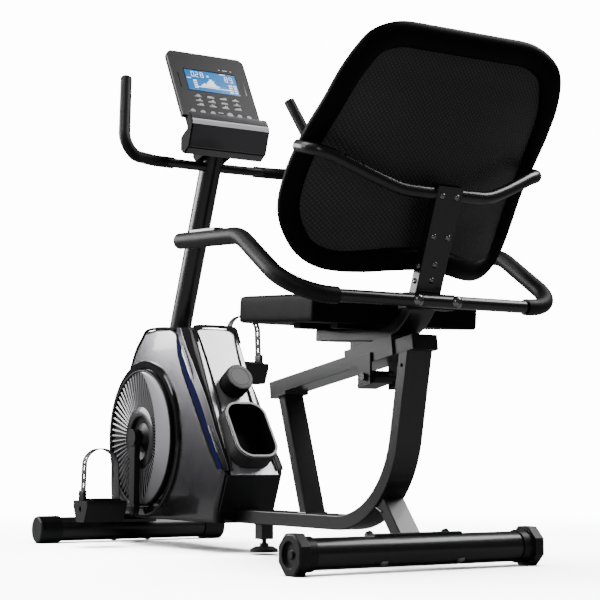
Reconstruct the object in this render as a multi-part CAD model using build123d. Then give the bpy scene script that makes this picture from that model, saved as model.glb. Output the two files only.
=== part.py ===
"""Recumbent exercise bike: main frame, drive, shrouds, mast, console and sliding seat.

Layout frame while modelling, in millimetres: X runs forward from the rear stabilizer's axis,
Y to the rider's left, Z up from the floor. Every node is moved by -ORIGIN_X when it is written,
so that the part's own origin is on the floor under the middle of the bike.
"""

from build123d import *
import os
from math import atan, cos, degrees, hypot, radians, sin, tan

# ---------------------------------------------------------------- driving dimensions
ORIGIN_X = 544.5            # half-way between the backrest's top and the transport rollers
WALL = 2.0                  # wall of the steel tubes
BEAM_W = 60.0               # width of the rectangular tubes, across the bike
BEAM_T = 30.0               # their thickness
BASE_Z = 83.0               # centre height of the base tube

REAR_TUBE_R = 30.0
REAR_AXIS_Z = 39.0
REAR_HALF = 289.0           # outer face of a foot cap
FOOT_FLAT = 39.0            # axis to each flat of the octagonal foot cap

FRONT_X = 1246.0
FRONT_AXIS_Z = 34.0
FRONT_HALF = 262.0
ROLLER_R = 34.0
ROLLER_LEN = 58.0

RAIL_TOP_AT_0 = 449.0       # height of the rail's top face above the rear axis
RAIL_SLOPE = atan(0.13826)
RAIL_FROM = -31.0
RAIL_TO = 502.0

CRANK_X = 1010.0
CRANK_Z = 262.0
CRANK_LEN = 170.0
SPINDLE_R = 8.45
PEDAL_AXLE_R = 7.0
DISC_R = 166.0
RING_R = 188.0
DISC_FACE_Y = 96.0

FLYWHEEL_X = 862.0
FLYWHEEL_Z = 212.0
FLYWHEEL_R = 98.0
PIN_X, PIN_Z = 950.0, 286.0  # pivot of the brake shoe
PULLEY_R = 100.0
PINION_R = 15.0
BELT_Y = (38.0, 48.0)

MAST_FOOT = (1153.0, 0.0, 98.0)
MAST_SLOPE = 0.397          # how far the mast goes back for each millimetre up
MAST_TOP_Z = 965.0
MAST_LONG = 60.0            # oval mast tube, along the bike
MAST_WIDE = 50.0

SHROUD_HALF = 80.0          # half width of the side shells
SHELL = 3.0

BAR_R = 12.5                # seat handlebar tube
BAR_FOAM_R = 16.5
FRONT_BAR_R = 11.0
FRONT_FOAM_R = 13.5

POST_W = 60.0
POST_T = 25.0
POST_SLOPE = 0.3906         # how far the back post goes back for each millimetre up
SEAM_Z = 602.0
BRACKET_TOP_Z = 727.0

RIM_R = 19.0                # backrest's padded roll
FACE_SLOPE = radians(28.1)  # console face, leaning away from the rider


# ---------------------------------------------------------------- helpers
def block(x0, x1, y0, y1, z0, z1):
    """Axis-aligned box between two corners."""
    centre = Location(((x0 + x1) / 2, (y0 + y1) / 2, (z0 + z1) / 2))
    return centre * Box(abs(x1 - x0), abs(y1 - y0), abs(z1 - z0))


def rod(start, end, radius):
    """Cylinder between two points."""
    a, b = Vector(*start), Vector(*end)
    plane = Plane(origin=a, z_dir=b - a)
    return extrude(plane * Circle(radius), (b - a).length)


def cross_rod(x, z, y0, y1, radius):
    """Cylinder along Y."""
    return rod((x, min(y0, y1), z), (x, max(y0, y1), z), radius)


def side_prism(points, y0, y1):
    """Closed outline of (x, z) points, extruded from y0 to y1."""
    low, high = min(y0, y1), max(y0, y1)
    outline = Polyline(*[(x, low, z) for x, z in points], close=True)
    return extrude(make_face(outline), amount=high - low, dir=(0, 1, 0))


def mirrored(shape):
    """Copy on the other side of the bike."""
    return mirror(shape, about=Plane.XZ)


def pair(shape):
    """A shape and its mirror image, as two solids of one node."""
    return Compound(shape.solids() + mirrored(shape).solids())


def bent_path(points, radii):
    """Straight runs through the points, with a tangent arc at each inner corner."""
    corners = [Vector(*p) for p in points]
    edges, start = [], corners[0]
    for before, corner, after, radius in zip(corners, corners[1:], corners[2:], radii):
        back = (before - corner).normalized()
        ahead = (after - corner).normalized()
        half = radians(back.get_angle(ahead)) / 2
        reach = radius / tan(half)
        middle = corner + (back + ahead).normalized() * (radius / sin(half) - radius)
        edges.append(Line(start, corner + back * reach))
        edges.append(ThreePointArc(corner + back * reach, middle, corner + ahead * reach))
        start = corner + ahead * reach
    edges.append(Line(start, corners[-1]))
    return Wire(edges)


def swept(section, path, across=None):
    """Section swept along a path; across is the direction of the section's X at the start."""
    start = path.position_at(0)
    ahead = path.tangent_at(0)
    plane = Plane(origin=start, z_dir=ahead) if across is None else \
        Plane(origin=start, x_dir=across, z_dir=ahead)
    return sweep(plane * section, path=path)


def hollow_box(width, thick, wall=WALL):
    return RectangleRounded(width, thick, 3) - Rectangle(width - 2 * wall, thick - 2 * wall)


def ring(radius, wall=WALL):
    return Circle(radius) - Circle(radius - wall)


def dome_bolt(foot, direction, head_r, head_h, shank_r, shank_len):
    """Button-head bolt: foot is the point under the head, direction points out of the surface."""
    plane = Plane(origin=foot, z_dir=direction)
    sphere_r = (head_r ** 2 + head_h ** 2) / (2 * head_h)
    head = plane * (Location((0, 0, head_h - sphere_r)) * Sphere(sphere_r))
    head &= plane * (Location((0, 0, head_h / 2)) * Cylinder(head_r, head_h))
    socket = plane * (Location((0, 0, head_h - 0.6)) * Cylinder(head_r * 0.4, 1.6))
    shank = plane * (Location((0, 0, -shank_len / 2)) * Cylinder(shank_r, shank_len))
    return head + shank - socket


def hex_bolt(foot, direction, across, head_h, shank_r, shank_len):
    """Hexagon bolt head with its shank behind the surface."""
    plane = Plane(origin=foot, z_dir=direction)
    head = extrude(plane * RegularPolygon(across / 2, 6, major_radius=False), head_h)
    shank = plane * (Location((0, 0, -shank_len / 2)) * Cylinder(shank_r, shank_len))
    return head + shank


# ---------------------------------------------------------------- rail frame of reference
RAIL = Location((0, 0, RAIL_TOP_AT_0 - BEAM_T / 2 / cos(RAIL_SLOPE)), (0, degrees(RAIL_SLOPE), 0))


def rail_block(x0, x1, y0, y1, z0, z1):
    """Box in the rail's own axes: X along it, forward and down, Z square to its top face."""
    return RAIL * block(x0, x1, y0, y1, z0, z1)


def rail_height(x, above=0.0):
    """World height over x of a plane parallel to the rail's top, above it by a distance."""
    return RAIL_TOP_AT_0 - x * tan(RAIL_SLOPE) + above / cos(RAIL_SLOPE)


def mast_x(z):
    return MAST_FOOT[0] - (z - MAST_FOOT[2]) * MAST_SLOPE


# ---------------------------------------------------------------- frame
def main_frame():
    """Base tube, rear bend and upright in one bent tube, with the leveller's socket under it."""
    upright_x, lean = 68.4, 0.2066
    top_z = 470.0
    path = bent_path([(FRONT_X + 16, 0, BASE_Z), (upright_x, 0, BASE_Z),
                      (upright_x - (top_z - BASE_Z) * lean, 0, top_z)], [211.0])
    tube = swept(hollow_box(BEAM_W, BEAM_T), path, across=(0, 1, 0))
    above_rail = rail_block(RAIL_FROM - 60, 120, -40, 40, -BEAM_T / 2, 80)
    socket = block(557, 587, -15, 15, 34, BASE_Z - BEAM_T / 2 + 1)
    cable_hole = cross_rod(4, 394, 20, 40, 4.2)
    return tube - above_rail + socket - cable_hole - rod((572, 0, 20), (572, 0, 84), 5.2)


def seat_rail():
    outer = rail_block(RAIL_FROM, RAIL_TO, -BEAM_W / 2, BEAM_W / 2, -BEAM_T / 2, BEAM_T / 2)
    inner = rail_block(RAIL_FROM - 1, RAIL_TO + 1, -BEAM_W / 2 + WALL, BEAM_W / 2 - WALL,
                       -BEAM_T / 2 + WALL, BEAM_T / 2 - WALL)
    return outer - inner


def rail_end_plugs():
    """Plastic plugs that close both ends of the rail."""
    w, t = BEAM_W / 2 - WALL, BEAM_T / 2 - WALL
    rear = rail_block(RAIL_FROM - 2.5, RAIL_FROM, -BEAM_W / 2, BEAM_W / 2, -BEAM_T / 2, BEAM_T / 2)
    rear += rail_block(RAIL_FROM, RAIL_FROM + 18, -w, w, -t, t)
    front = rail_block(RAIL_TO, RAIL_TO + 2.5, -BEAM_W / 2, BEAM_W / 2, -BEAM_T / 2, BEAM_T / 2)
    front += rail_block(RAIL_TO - 18, RAIL_TO, -w, w, -t, t)
    return Compound(rear.solids() + front.solids())


def frame_struts():
    """Leaning strut under the rail, and the short brace down to the rear stabilizer."""
    low, high = BASE_Z + BEAM_T / 2, rail_height(462) - BEAM_T / cos(RAIL_SLOPE)
    strut_path = Wire([Line((361, 0, low - 30), (472, 0, high + 28))])
    strut = swept(hollow_box(50, 26), strut_path, across=(0, 1, 0))
    strut &= block(300, 540, -40, 40, low, high + 60)
    strut += side_prism([(430, high + 4 - 7), (492, high - 4.5 - 7), (492, high + 3), (430, high + 9)], -27, 33)
    strut -= rail_block(300, RAIL_TO + 20, -40, 40, -BEAM_T / 2, 80)
    brace_path = Wire([Line((-14, 0, 8), (126, 0, 176))])
    brace = swept(hollow_box(50, 28), brace_path, across=(0, 1, 0))
    brace -= cross_rod(0, REAR_AXIS_Z, -60, 60, REAR_TUBE_R + 4)
    brace &= block(-60, 200, -40, 40, 30, 200)
    keep_out = bent_path([(500, 0, BASE_Z), (68.4, 0, BASE_Z), (-2, 0, 424)], [211.0])
    brace -= swept(Rectangle(BEAM_W, BEAM_T), keep_out, across=(0, 1, 0))
    brace = max(brace.solids(), key=lambda s: s.volume)
    return Compound(strut.solids() + [brace])


def saddle_plates():
    """Curved plates between the frame and the two stabilizer tubes."""
    rear = cross_rod(0, REAR_AXIS_Z, -104, 104, REAR_TUBE_R + 4)
    rear -= cross_rod(0, REAR_AXIS_Z, -110, 110, REAR_TUBE_R)
    rear &= side_prism([(0, REAR_AXIS_Z), (-14, 90), (60, 90), (60, 30)], -110, 110)
    front = cross_rod(FRONT_X, FRONT_AXIS_Z, -60, 60, REAR_TUBE_R + 4)
    front -= cross_rod(FRONT_X, FRONT_AXIS_Z, -70, 70, REAR_TUBE_R)
    front &= block(FRONT_X - 26, FRONT_X + 26, -70, 70, FRONT_AXIS_Z + 10, 90)
    return Compound(rear.solids() + front.solids())


def stabilizer(x, z, half):
    path = Wire([Line((x, -half, z), (x, half, z))])
    return swept(ring(REAR_TUBE_R), path)


def rear_foot_caps():
    """Octagonal plastic feet with a collar over the tube and a recessed face."""
    face = Plane(origin=(0, REAR_HALF, REAR_AXIS_Z), x_dir=(1, 0, 0), z_dir=(0, -1, 0))
    body = extrude(face * RegularPolygon(FOOT_FLAT, 8, major_radius=False, rotation=22.5), 24)
    body = chamfer(body.faces().sort_by(Axis.Y)[-1].edges(), 3)
    body += cross_rod(0, REAR_AXIS_Z, REAR_HALF - 46, REAR_HALF - 24, REAR_TUBE_R + 3)
    body -= cross_rod(0, REAR_AXIS_Z, REAR_HALF - 50, REAR_HALF - 12, REAR_TUBE_R)
    body -= cross_rod(0, REAR_AXIS_Z, REAR_HALF - 7, REAR_HALF + 5, 25)
    body += cross_rod(0, REAR_AXIS_Z, REAR_HALF - 8, REAR_HALF - 3, 8)
    return pair(body)


def transport_roller():
    """Round plastic roller on the left end of the front stabilizer."""
    inner = FRONT_HALF - ROLLER_LEN
    body = cross_rod(FRONT_X, FRONT_AXIS_Z, inner, FRONT_HALF, ROLLER_R)
    body = fillet(body.faces().sort_by(Axis.Y)[-1].edges(), 5)
    return body - cross_rod(FRONT_X, FRONT_AXIS_Z, inner - 1, FRONT_HALF - 5, REAR_TUBE_R + 0.08)


def frame_fasteners():
    """Carriage bolts with dome nuts through the stabilizers, and the mast's side bolts."""
    solids = []
    away = Vector(1, 0, 1.03).normalized()
    for y in (-91, 91):
        centre = Vector(0, y, REAR_AXIS_Z)
        solids += dome_bolt(centre - away * REAR_TUBE_R, -away, 9, 5, 4, 64 - 6).solids()
        nut_foot = centre + away * (REAR_TUBE_R + 4)
        solids += hex_bolt(nut_foot, away, 15, 12, 4, 0.5).solids()
    for y in (-48, 48):
        foot = (FRONT_X, y, FRONT_AXIS_Z - REAR_TUBE_R)
        bolt = dome_bolt(foot, (0, 0, -1), 8, 3, 4, 2 * REAR_TUBE_R + 4)
        bolt += hex_bolt((FRONT_X, y, FRONT_AXIS_Z + REAR_TUBE_R + 4), (0, 0, 1), 15, 8, 4, 2)
        solids += bolt.solids()
    for z in (118.0, 150.0):
        for side in (-1, 1):
            foot = (mast_x(z), side * (MAST_WIDE / 2 + 3.5), z)
            solids += dome_bolt(foot, (0, side, 0), 7, 4, 4, 12).solids()
    return Compound(solids)


def leveller_foot():
    """Threaded stem, hexagon and round pad of the middle foot, held just over the floor."""
    stem = rod((572, 0, 14), (572, 0, 62), 5.1)
    hexagon = hex_bolt((572, 0, 19), (0, 0, 1), 17, 6, 5, 1)
    pad = rod((572, 0, 6), (572, 0, 12), 31)
    pad += Location((572, 0, 15)) * Cone(31, 20, 6)
    neck = rod((572, 0, 16), (572, 0, 20), 8)
    return stem + hexagon + pad + neck


# ---------------------------------------------------------------- drive
def mast_section(grow=0.0):
    return Ellipse(MAST_LONG / 2 + grow, MAST_WIDE / 2 + grow)


def mast_solid(section, z0, z1):
    """Section swept along the mast's axis, cut level at both heights."""
    start, end = (mast_x(z0 - 60), 0, z0 - 60), (mast_x(z1 + 60), 0, z1 + 60)
    path = Wire([Line(start, end)])
    plane = Plane(origin=start, x_dir=Vector(1, 0, MAST_SLOPE), z_dir=path.tangent_at(0))
    return sweep(plane * section, path=path) & block(500, 1400, -100, 100, z0, z1)


def mast():
    section = mast_section() - mast_section(-WALL)
    tube = mast_solid(section, MAST_FOOT[2], MAST_TOP_Z)
    return tube - swept(Circle(FRONT_BAR_R), bent_path(front_bar_path(), BAR_BENDS))


def drive_bracket():
    """Welded carrier on the base tube: mast socket, crank shell, and flywheel and brake lugs."""
    floor = BASE_Z + BEAM_T / 2
    shell = cross_rod(CRANK_X, CRANK_Z, -34, 34, 21)
    bracket = shell
    for side in (-1, 1):
        inner, outer = side * 26, side * 30
        bracket += side_prism([(CRANK_X - 34, floor), (CRANK_X + 34, floor), (CRANK_X + 20, CRANK_Z),
                               (CRANK_X - 20, CRANK_Z)], inner, outer)
        bracket += side_prism([(FLYWHEEL_X - 28, floor), (FLYWHEEL_X + 28, floor),
                               (FLYWHEEL_X + 14, FLYWHEEL_Z + 14), (FLYWHEEL_X - 14, FLYWHEEL_Z + 14)],
                              inner, outer)
        bracket += side_prism([(PIN_X - 9, PIN_Z - 9), (PIN_X - 6, PIN_Z + 9), (CRANK_X - 8, CRANK_Z + 14),
                               (CRANK_X - 8, CRANK_Z - 12)], inner, outer)
    bracket += cross_rod(PIN_X, PIN_Z, -30, 30, 4)
    bracket -= cross_rod(CRANK_X, CRANK_Z, -40, 40, 17)
    bracket -= cross_rod(FLYWHEEL_X, FLYWHEEL_Z, -40, 40, 6)
    socket = mast_solid(mast_section(3.5) - mast_section(), floor, floor + 70)
    return Compound(bracket.solids() + socket.solids())


def crank_bearings():
    solids = []
    for side in (-1, 1):
        seat = cross_rod(CRANK_X, CRANK_Z, side * 22, side * 34, 17)
        solids += (seat - cross_rod(CRANK_X, CRANK_Z, -40, 40, SPINDLE_R + 0.05)).solids()
    return Compound(solids)


def crank_axles():
    """Spindle with the two pedal axles, which turn with the cranks."""
    spindle = cross_rod(CRANK_X, CRANK_Z, -112, 112, SPINDLE_R)
    left = cross_rod(CRANK_X, CRANK_Z - CRANK_LEN, 100, 244, PEDAL_AXLE_R)
    right = cross_rod(CRANK_X, CRANK_Z + CRANK_LEN, -244, -100, PEDAL_AXLE_R)
    return Compound(spindle.solids() + left.solids() + right.solids())


def crank_arm():
    """Left crank arm, hanging down, with its boss and a cap over the spindle."""
    end_z = CRANK_Z - CRANK_LEN
    arm = side_prism([(CRANK_X - 16, CRANK_Z), (CRANK_X + 16, CRANK_Z), (CRANK_X + 13, end_z),
                      (CRANK_X - 13, end_z)], 100, 115)
    arm += cross_rod(CRANK_X, CRANK_Z, 97, 117, 21)
    arm += cross_rod(CRANK_X, end_z, 100, 115, 16)
    arm -= cross_rod(CRANK_X, CRANK_Z, 80, 112, SPINDLE_R)
    return arm - cross_rod(CRANK_X, end_z, 90, 140, PEDAL_AXLE_R)


def turning_discs():
    """Left and right round covers, fixed to the spindle behind the cranks."""
    disc = cross_rod(CRANK_X, CRANK_Z, 83, DISC_FACE_Y, DISC_R)
    disc -= cross_rod(CRANK_X, CRANK_Z, 80, DISC_FACE_Y - 4, DISC_R - 4)
    disc -= cross_rod(CRANK_X, CRANK_Z, 80, 110, 55)
    hub = cross_rod(CRANK_X, CRANK_Z, 86, 90, 57) + cross_rod(CRANK_X, CRANK_Z, 84, 97, 18)
    disc += hub + (cross_rod(CRANK_X, CRANK_Z, 86, 94, 59) - cross_rod(CRANK_X, CRANK_Z, 80, 100, 54))
    return pair(disc - cross_rod(CRANK_X, CRANK_Z, 70, 110, SPINDLE_R))


def drive_pulley():
    body = cross_rod(CRANK_X, CRANK_Z, BELT_Y[0] - 2, BELT_Y[1] + 2, PULLEY_R + 3)
    body -= cross_rod(CRANK_X, CRANK_Z, BELT_Y[0], BELT_Y[1], PULLEY_R + 5) - \
        cross_rod(CRANK_X, CRANK_Z, BELT_Y[0], BELT_Y[1], PULLEY_R)
    body -= cross_rod(CRANK_X, CRANK_Z, BELT_Y[0] + 2, BELT_Y[1] + 3, PULLEY_R - 12) - \
        cross_rod(CRANK_X, CRANK_Z, 30, 60, 24)
    return body - cross_rod(CRANK_X, CRANK_Z, 30, 60, SPINDLE_R)


def drive_belt():
    gap, thick = 0.3, 2.5
    loops = []
    for grow in (gap, gap + thick):
        big = Location((CRANK_X, CRANK_Z)) * Circle(PULLEY_R + grow)
        small = Location((FLYWHEEL_X, FLYWHEEL_Z)) * Circle(PINION_R + grow)
        loops.append(make_hull((big.edges() + small.edges())))
    face = Plane(origin=(0, BELT_Y[1] - 1, 0), x_dir=(1, 0, 0), z_dir=(0, -1, 0)) * (loops[1] - loops[0])
    return extrude(face, BELT_Y[1] - BELT_Y[0] - 2)


def flywheel_axle():
    return cross_rod(FLYWHEEL_X, FLYWHEEL_Z, -36, 62, 6)


def flywheel():
    """Heavy rim, web and hub with the small belt pulley, running on the fixed axle."""
    body = cross_rod(FLYWHEEL_X, FLYWHEEL_Z, -12, 12, FLYWHEEL_R)
    for side in (-1, 1):
        body -= cross_rod(FLYWHEEL_X, FLYWHEEL_Z, side * 5, side * 14, FLYWHEEL_R - 20) - \
            cross_rod(FLYWHEEL_X, FLYWHEEL_Z, side * 4, side * 15, 20)
    bore = cross_rod(FLYWHEEL_X, FLYWHEEL_Z, -40, 70, 6.06)
    return body - bore


def belt_pinion():
    """Small pulley outside the carrier, driven by the belt and turning with the flywheel."""
    body = cross_rod(FLYWHEEL_X, FLYWHEEL_Z, BELT_Y[0] - 2, BELT_Y[1] + 2, PINION_R + 3)
    body -= cross_rod(FLYWHEEL_X, FLYWHEEL_Z, BELT_Y[0], BELT_Y[1], PINION_R + 5) - \
        cross_rod(FLYWHEEL_X, FLYWHEEL_Z, BELT_Y[0], BELT_Y[1], PINION_R)
    return body - cross_rod(FLYWHEEL_X, FLYWHEEL_Z, 30, 70, 6.06)


def magnet_shoe():
    """Brake shoe over the flywheel's rim, hinged on the carrier's pin."""
    shoe = cross_rod(FLYWHEEL_X, FLYWHEEL_Z, -14, 14, FLYWHEEL_R + 14)
    shoe -= cross_rod(FLYWHEEL_X, FLYWHEEL_Z, -20, 20, FLYWHEEL_R + 5)
    shoe &= side_prism([(FLYWHEEL_X, FLYWHEEL_Z), (FLYWHEEL_X + 130, FLYWHEEL_Z + 80),
                        (FLYWHEEL_X + 60, FLYWHEEL_Z + 160), (FLYWHEEL_X - 20, FLYWHEEL_Z + 160)], -15, 15)
    shoe += cross_rod(PIN_X, PIN_Z, -14, 14, 9)
    return shoe - cross_rod(PIN_X, PIN_Z, -20, 20, 4.06)


# ---------------------------------------------------------------- pedals
def pedal(side):
    """Weighted pedal with a ribbed sole; side is +1 for the left one, which is down."""
    z = CRANK_Z - side * CRANK_LEN
    y0, y1 = side * 146, side * 250
    body = side_prism([(CRANK_X - 40, z + 20), (CRANK_X + 40, z + 20), (CRANK_X + 40, z + 6),
                       (CRANK_X + 22, z - 31), (CRANK_X - 22, z - 31), (CRANK_X - 40, z + 6)], y0, y1)
    for step in range(-3, 4):
        x = CRANK_X + step * 12
        body += block(x - 2, x + 2, side * 160, side * 236, z + 20, z + 24)
    return body - cross_rod(CRANK_X, z, y0 - side * 5, y1, PEDAL_AXLE_R + 0.06)


def strap(side):
    """Foot strap arched over the sole, from the pedal's outer end to its inner end."""
    z = CRANK_Z - side * CRANK_LEN
    foot = z + 20
    points = [(CRANK_X, side * 243, foot), (CRANK_X, side * 240, z + 143),
              (CRANK_X, side * 156, z + 143), (CRANK_X, side * 153, foot)]
    path = bent_path(points, [40, 40])
    band = swept(Rectangle(22, 2.4), path, across=(1, 0, 0))
    buckle = block(CRANK_X - 15, CRANK_X + 15, side * 239.5, side * 248, foot, z + 44)
    return band + buckle - pedal(side)


# ---------------------------------------------------------------- shrouds
SIDE_OUTLINE = [(655, 67), (1198, 67), (1207, 120), (1207, 190), (1203, 262), (1188, 330), (1150, 385),
                (1096, 430), (1062, 482), (1010, 524), (845, 520), (625, 178), (657, 98)]
SPINE_TOP = (806.0, 520.0)
SPINE_LOW = (612.0, 176.0)
SPINE_DIR = Vector(SPINE_LOW[0] - SPINE_TOP[0], 0, SPINE_LOW[1] - SPINE_TOP[1]).normalized()
SPINE_OUT = Vector(SPINE_DIR.Z, 0, -SPINE_DIR.X)
CUP_TOP = (672.0, 338.0)
CUP_LOW = (588.0, 218.0)
KNOB_FOOT = (722.0, 378.0)


def inset(points, by):
    """Outline moved inwards by a distance."""
    face = make_face(Polyline(*[(x, z, 0) for x, z in points], close=True))
    return [(v.X, v.Y) for v in offset(face, amount=-by, kind=Kind.INTERSECTION).wires()[0].vertices()]


def side_shell():
    """Left half of the casing: hollow, open underneath, with a bevelled rear edge."""
    outer = side_prism(SIDE_OUTLINE, 0, SHROUD_HALF)
    rear_bevel = Plane(origin=(735, SHROUD_HALF - 9, 347), z_dir=Vector(-0.42, 0.86, 0.27))
    cutter = extrude(rear_bevel * Rectangle(900, 900), 60) & block(560, 875, 60, 120, 120, 540)
    outer -= cutter
    face = make_face(Polyline(*[(x, 0, z) for x, z in SIDE_OUTLINE], close=True))
    core = offset(face, amount=-SHELL, kind=Kind.INTERSECTION)
    inner = extrude(core, amount=SHROUD_HALF - SHELL, dir=(0, 1, 0)) - \
        extrude(rear_bevel.offset(-SHELL - 1) * Rectangle(900, 900), 60)
    inner += block(662, 1190, -1, SHROUD_HALF - SHELL, 60, 75)
    shell = outer - inner
    shell -= block(560, 1300, -1, BEAM_W / 2 + 0.5, 60, BASE_Z + BEAM_T / 2 + 0.5)
    shell -= mast_solid(mast_section(1.0), 170, 560)
    shell -= cup_prism(0.5, CUP_DEEP + 0.5)
    shell -= cross_rod(CRANK_X, CRANK_Z, 60, 120, 30)
    shell -= block(FRONT_X - 40, FRONT_X + 40, -1, 100, 0, 72)
    return max(shell.solids(), key=lambda s: s.volume)


def spine_slab(half_top, half_low, out0, out1, down0, down1):
    """Slab on the spine: tapered half widths, between two offsets from the spine's surface."""
    def station(down, half):
        centre = Vector(SPINE_TOP[0], 0, SPINE_TOP[1]) + SPINE_DIR * down
        corners = [centre + SPINE_OUT * out + Vector(0, y, 0)
                   for out, y in ((out0, -half), (out1, -half), (out1, half), (out0, half))]
        return make_face(Polyline(*corners, close=True))
    return loft([station(down0, half_top), station(down1, half_low)], ruled=True)


SPINE_LEN = hypot(SPINE_TOP[0] - SPINE_LOW[0], SPINE_TOP[1] - SPINE_LOW[1])


def casing_core():
    """Everything inside the side shells' outline, used to trim the rear cover."""
    return side_prism(SIDE_OUTLINE, -SHROUD_HALF, SHROUD_HALF)


def cup_plane():
    """Plane of the bottle holder's mouth: X down along it, Z out of it."""
    middle = Vector((CUP_TOP[0] + CUP_LOW[0]) / 2, 0, (CUP_TOP[1] + CUP_LOW[1]) / 2)
    down = Vector(CUP_LOW[0] - CUP_TOP[0], 0, CUP_LOW[1] - CUP_TOP[1]).normalized()
    return Plane(origin=middle, x_dir=down, z_dir=Vector(down.Z, 0, -down.X))


CUP_LEN = hypot(CUP_TOP[0] - CUP_LOW[0], CUP_TOP[1] - CUP_LOW[1])
CUP_WIDE = 100.0
CUP_DEEP = 60.0


def cup_prism(grow, depth):
    """Rounded prism behind the mouth, grown all round."""
    outline = RectangleRounded(CUP_LEN + 2 * grow, CUP_WIDE + 2 * grow, 34 + grow)
    return extrude(cup_plane() * outline, -depth)


def rear_cover():
    """Black cover behind the spine panel, with the nose under it."""
    slab = spine_slab(60, 64, -46, -3, 4, SPINE_LEN - 2)
    slab -= casing_core()
    nose = side_prism([(613, 175), (626, 177), (658, 97), (654.9, 97), (650, 92)], -70, 70)
    cover = slab + (nose - casing_core())
    cover -= cup_prism(3, 95) + block(560, 1300, -30.5, 30.5, 60, 98.5) + spine_panel()
    cover -= rod((KNOB_FOOT[0], 0, KNOB_FOOT[1]), tuple(Vector(KNOB_FOOT[0], 0, KNOB_FOOT[1]) - SPINE_OUT * 60), 9)
    return max(cover.solids(), key=lambda s: s.volume)


def spine_panel():
    """Pale panel on the spine, with the swelling that carries the bottle holder."""
    panel = spine_slab(55, 61, -2.8, 0, 0, SPINE_LEN)
    swell = cup_prism(3, 62) - spine_slab(80, 80, -90, -2.8, -20, SPINE_LEN + 60)
    panel += swell
    panel -= cup_prism(0.5, 90)
    panel -= rod((KNOB_FOOT[0] - 30, 0, KNOB_FOOT[1] + 17), (KNOB_FOOT[0] + 30, 0, KNOB_FOOT[1] - 17), 9)
    panel -= casing_core()
    return max(panel.solids(), key=lambda s: s.volume)


def bottle_cup():
    cup = cup_prism(0, CUP_DEEP)
    hollow = extrude(cup_plane() * RectangleRounded(CUP_LEN - 6, CUP_WIDE - 6, 31), -CUP_DEEP + 3)
    return cup - hollow


def bottle_rim():
    plane = cup_plane()
    outer = RectangleRounded(CUP_LEN + 7, CUP_WIDE + 7, 37)
    inner = RectangleRounded(CUP_LEN - 6, CUP_WIDE - 6, 31)
    return extrude(plane * (outer - inner), 3)


def side_rings():
    ring_left = cross_rod(CRANK_X, CRANK_Z, SHROUD_HALF, 88, RING_R)
    return pair(ring_left - cross_rod(CRANK_X, CRANK_Z, 70, 110, DISC_R + 2.5))


def accent_strips():
    """Dark blue strips along the bevels between the side shells and the spine."""
    low, high = Vector(648, 0, 200), Vector(830, 0, 480)
    along = (high - low).normalized()
    square = Vector(along.Z, 0, -along.X)
    start = low + square * 14
    plane = Plane(origin=start + Vector(0, SHROUD_HALF - 4, 0), x_dir=square, z_dir=along)
    strip = extrude(plane * Rectangle(7, 10), (high - low).length)
    return pair(strip - mirrored(side_shell()) - side_shell())


def tension_knob():
    foot = Vector(KNOB_FOOT[0], 0, KNOB_FOOT[1]) + SPINE_OUT * 1.5
    plane = Plane(origin=foot, z_dir=SPINE_OUT)
    body = fillet(extrude(plane * Circle(31), 38).faces().sort_by(Axis((0, 0, 0), SPINE_OUT))[-1].edges(), 3)
    return body + extrude(plane * Circle(6), -22)


# ---------------------------------------------------------------- front handlebar and console
BAR_BENDS = [38, 110, 400, 110, 38]


def front_bar_path():
    half = [(mast_x(913), 0, 913), (801, 165, 909), (735, 277, 905), (831, 227, 1100)]
    right = [(x, -y, z) for x, y, z in half[:0:-1]]
    return right + half


def front_handlebar():
    path = bent_path(front_bar_path(), BAR_BENDS)
    return swept(ring(FRONT_BAR_R, 1.8), path)


def front_grips():
    """Foam sleeves over the bends and uprights, closed at the tips."""
    lean_in = (831 - 735, 227 - 277, 1100 - 905)
    tip = [831 + lean_in[0] * 0.02, 227 + lean_in[1] * 0.02, 1100 + lean_in[2] * 0.02]
    path = bent_path([(814.5, 112, 911.2), (801, 165, 909), (735, 277, 905), tuple(tip)], [110, 38])
    bore = bent_path([(814.5, 112, 911.2), (801, 165, 909), (735, 277, 905), (831, 227, 1100)], [110, 38])
    foam = swept(Circle(FRONT_FOAM_R), path) - swept(Circle(FRONT_BAR_R), bore)
    return pair(max(foam.solids(), key=lambda s: s.volume))


FACE_FOOT = (770.0, 1021.0)
FACE_LEN = 202.0
FACE_HALF = 107.0
FACE_UP = Vector(sin(FACE_SLOPE), 0, cos(FACE_SLOPE))
FACE_OUT = Vector(-cos(FACE_SLOPE), 0, sin(FACE_SLOPE))


def face_plane(up=0.0, out=0.0):
    """Plane on the console's face: X to the rider's left, Y up along the face."""
    origin = Vector(FACE_FOOT[0], 0, FACE_FOOT[1]) + FACE_UP * up + FACE_OUT * out
    return Plane(origin=origin, x_dir=(0, 1, 0), z_dir=-FACE_OUT)


def face_slab(up0, up1, half, out0, out1, radius):
    """Plate parallel to the console's face, with rounded upper corners."""
    plate = extrude(face_plane((up0 + up1) / 2, out0) * Rectangle(2 * half, up1 - up0), out0 - out1)
    if radius:
        corner_edges = plate.edges().filter_by(Axis((0, 0, 0), FACE_OUT)).sort_by(Axis.Z)[-2:]
        plate = fillet(corner_edges, radius)
    return plate


BUTTON_UP = 14.0
BUTTONS = {"button_1": (77, 6.5), "button_2": (50, 6.5), "button_3": (23, 6.5),
           "button_4": (-24, 8.5), "button_5": (-51, 6.5), "button_6": (-77, 6.5)}


def console_face():
    plate = face_slab(0.5, FACE_LEN, FACE_HALF, 0, -4, 18)
    plate -= face_slab(82, 147, 71, 1, -5, 0)
    for y, radius in BUTTONS.values():
        plate -= extrude(face_plane(BUTTON_UP, 1) * Location((y, 0)) * Circle(radius + 0.4), 6)
    return plate


def console_screen():
    return face_slab(82.2, 146.8, 70.8, -0.6, -4, 0)


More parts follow.
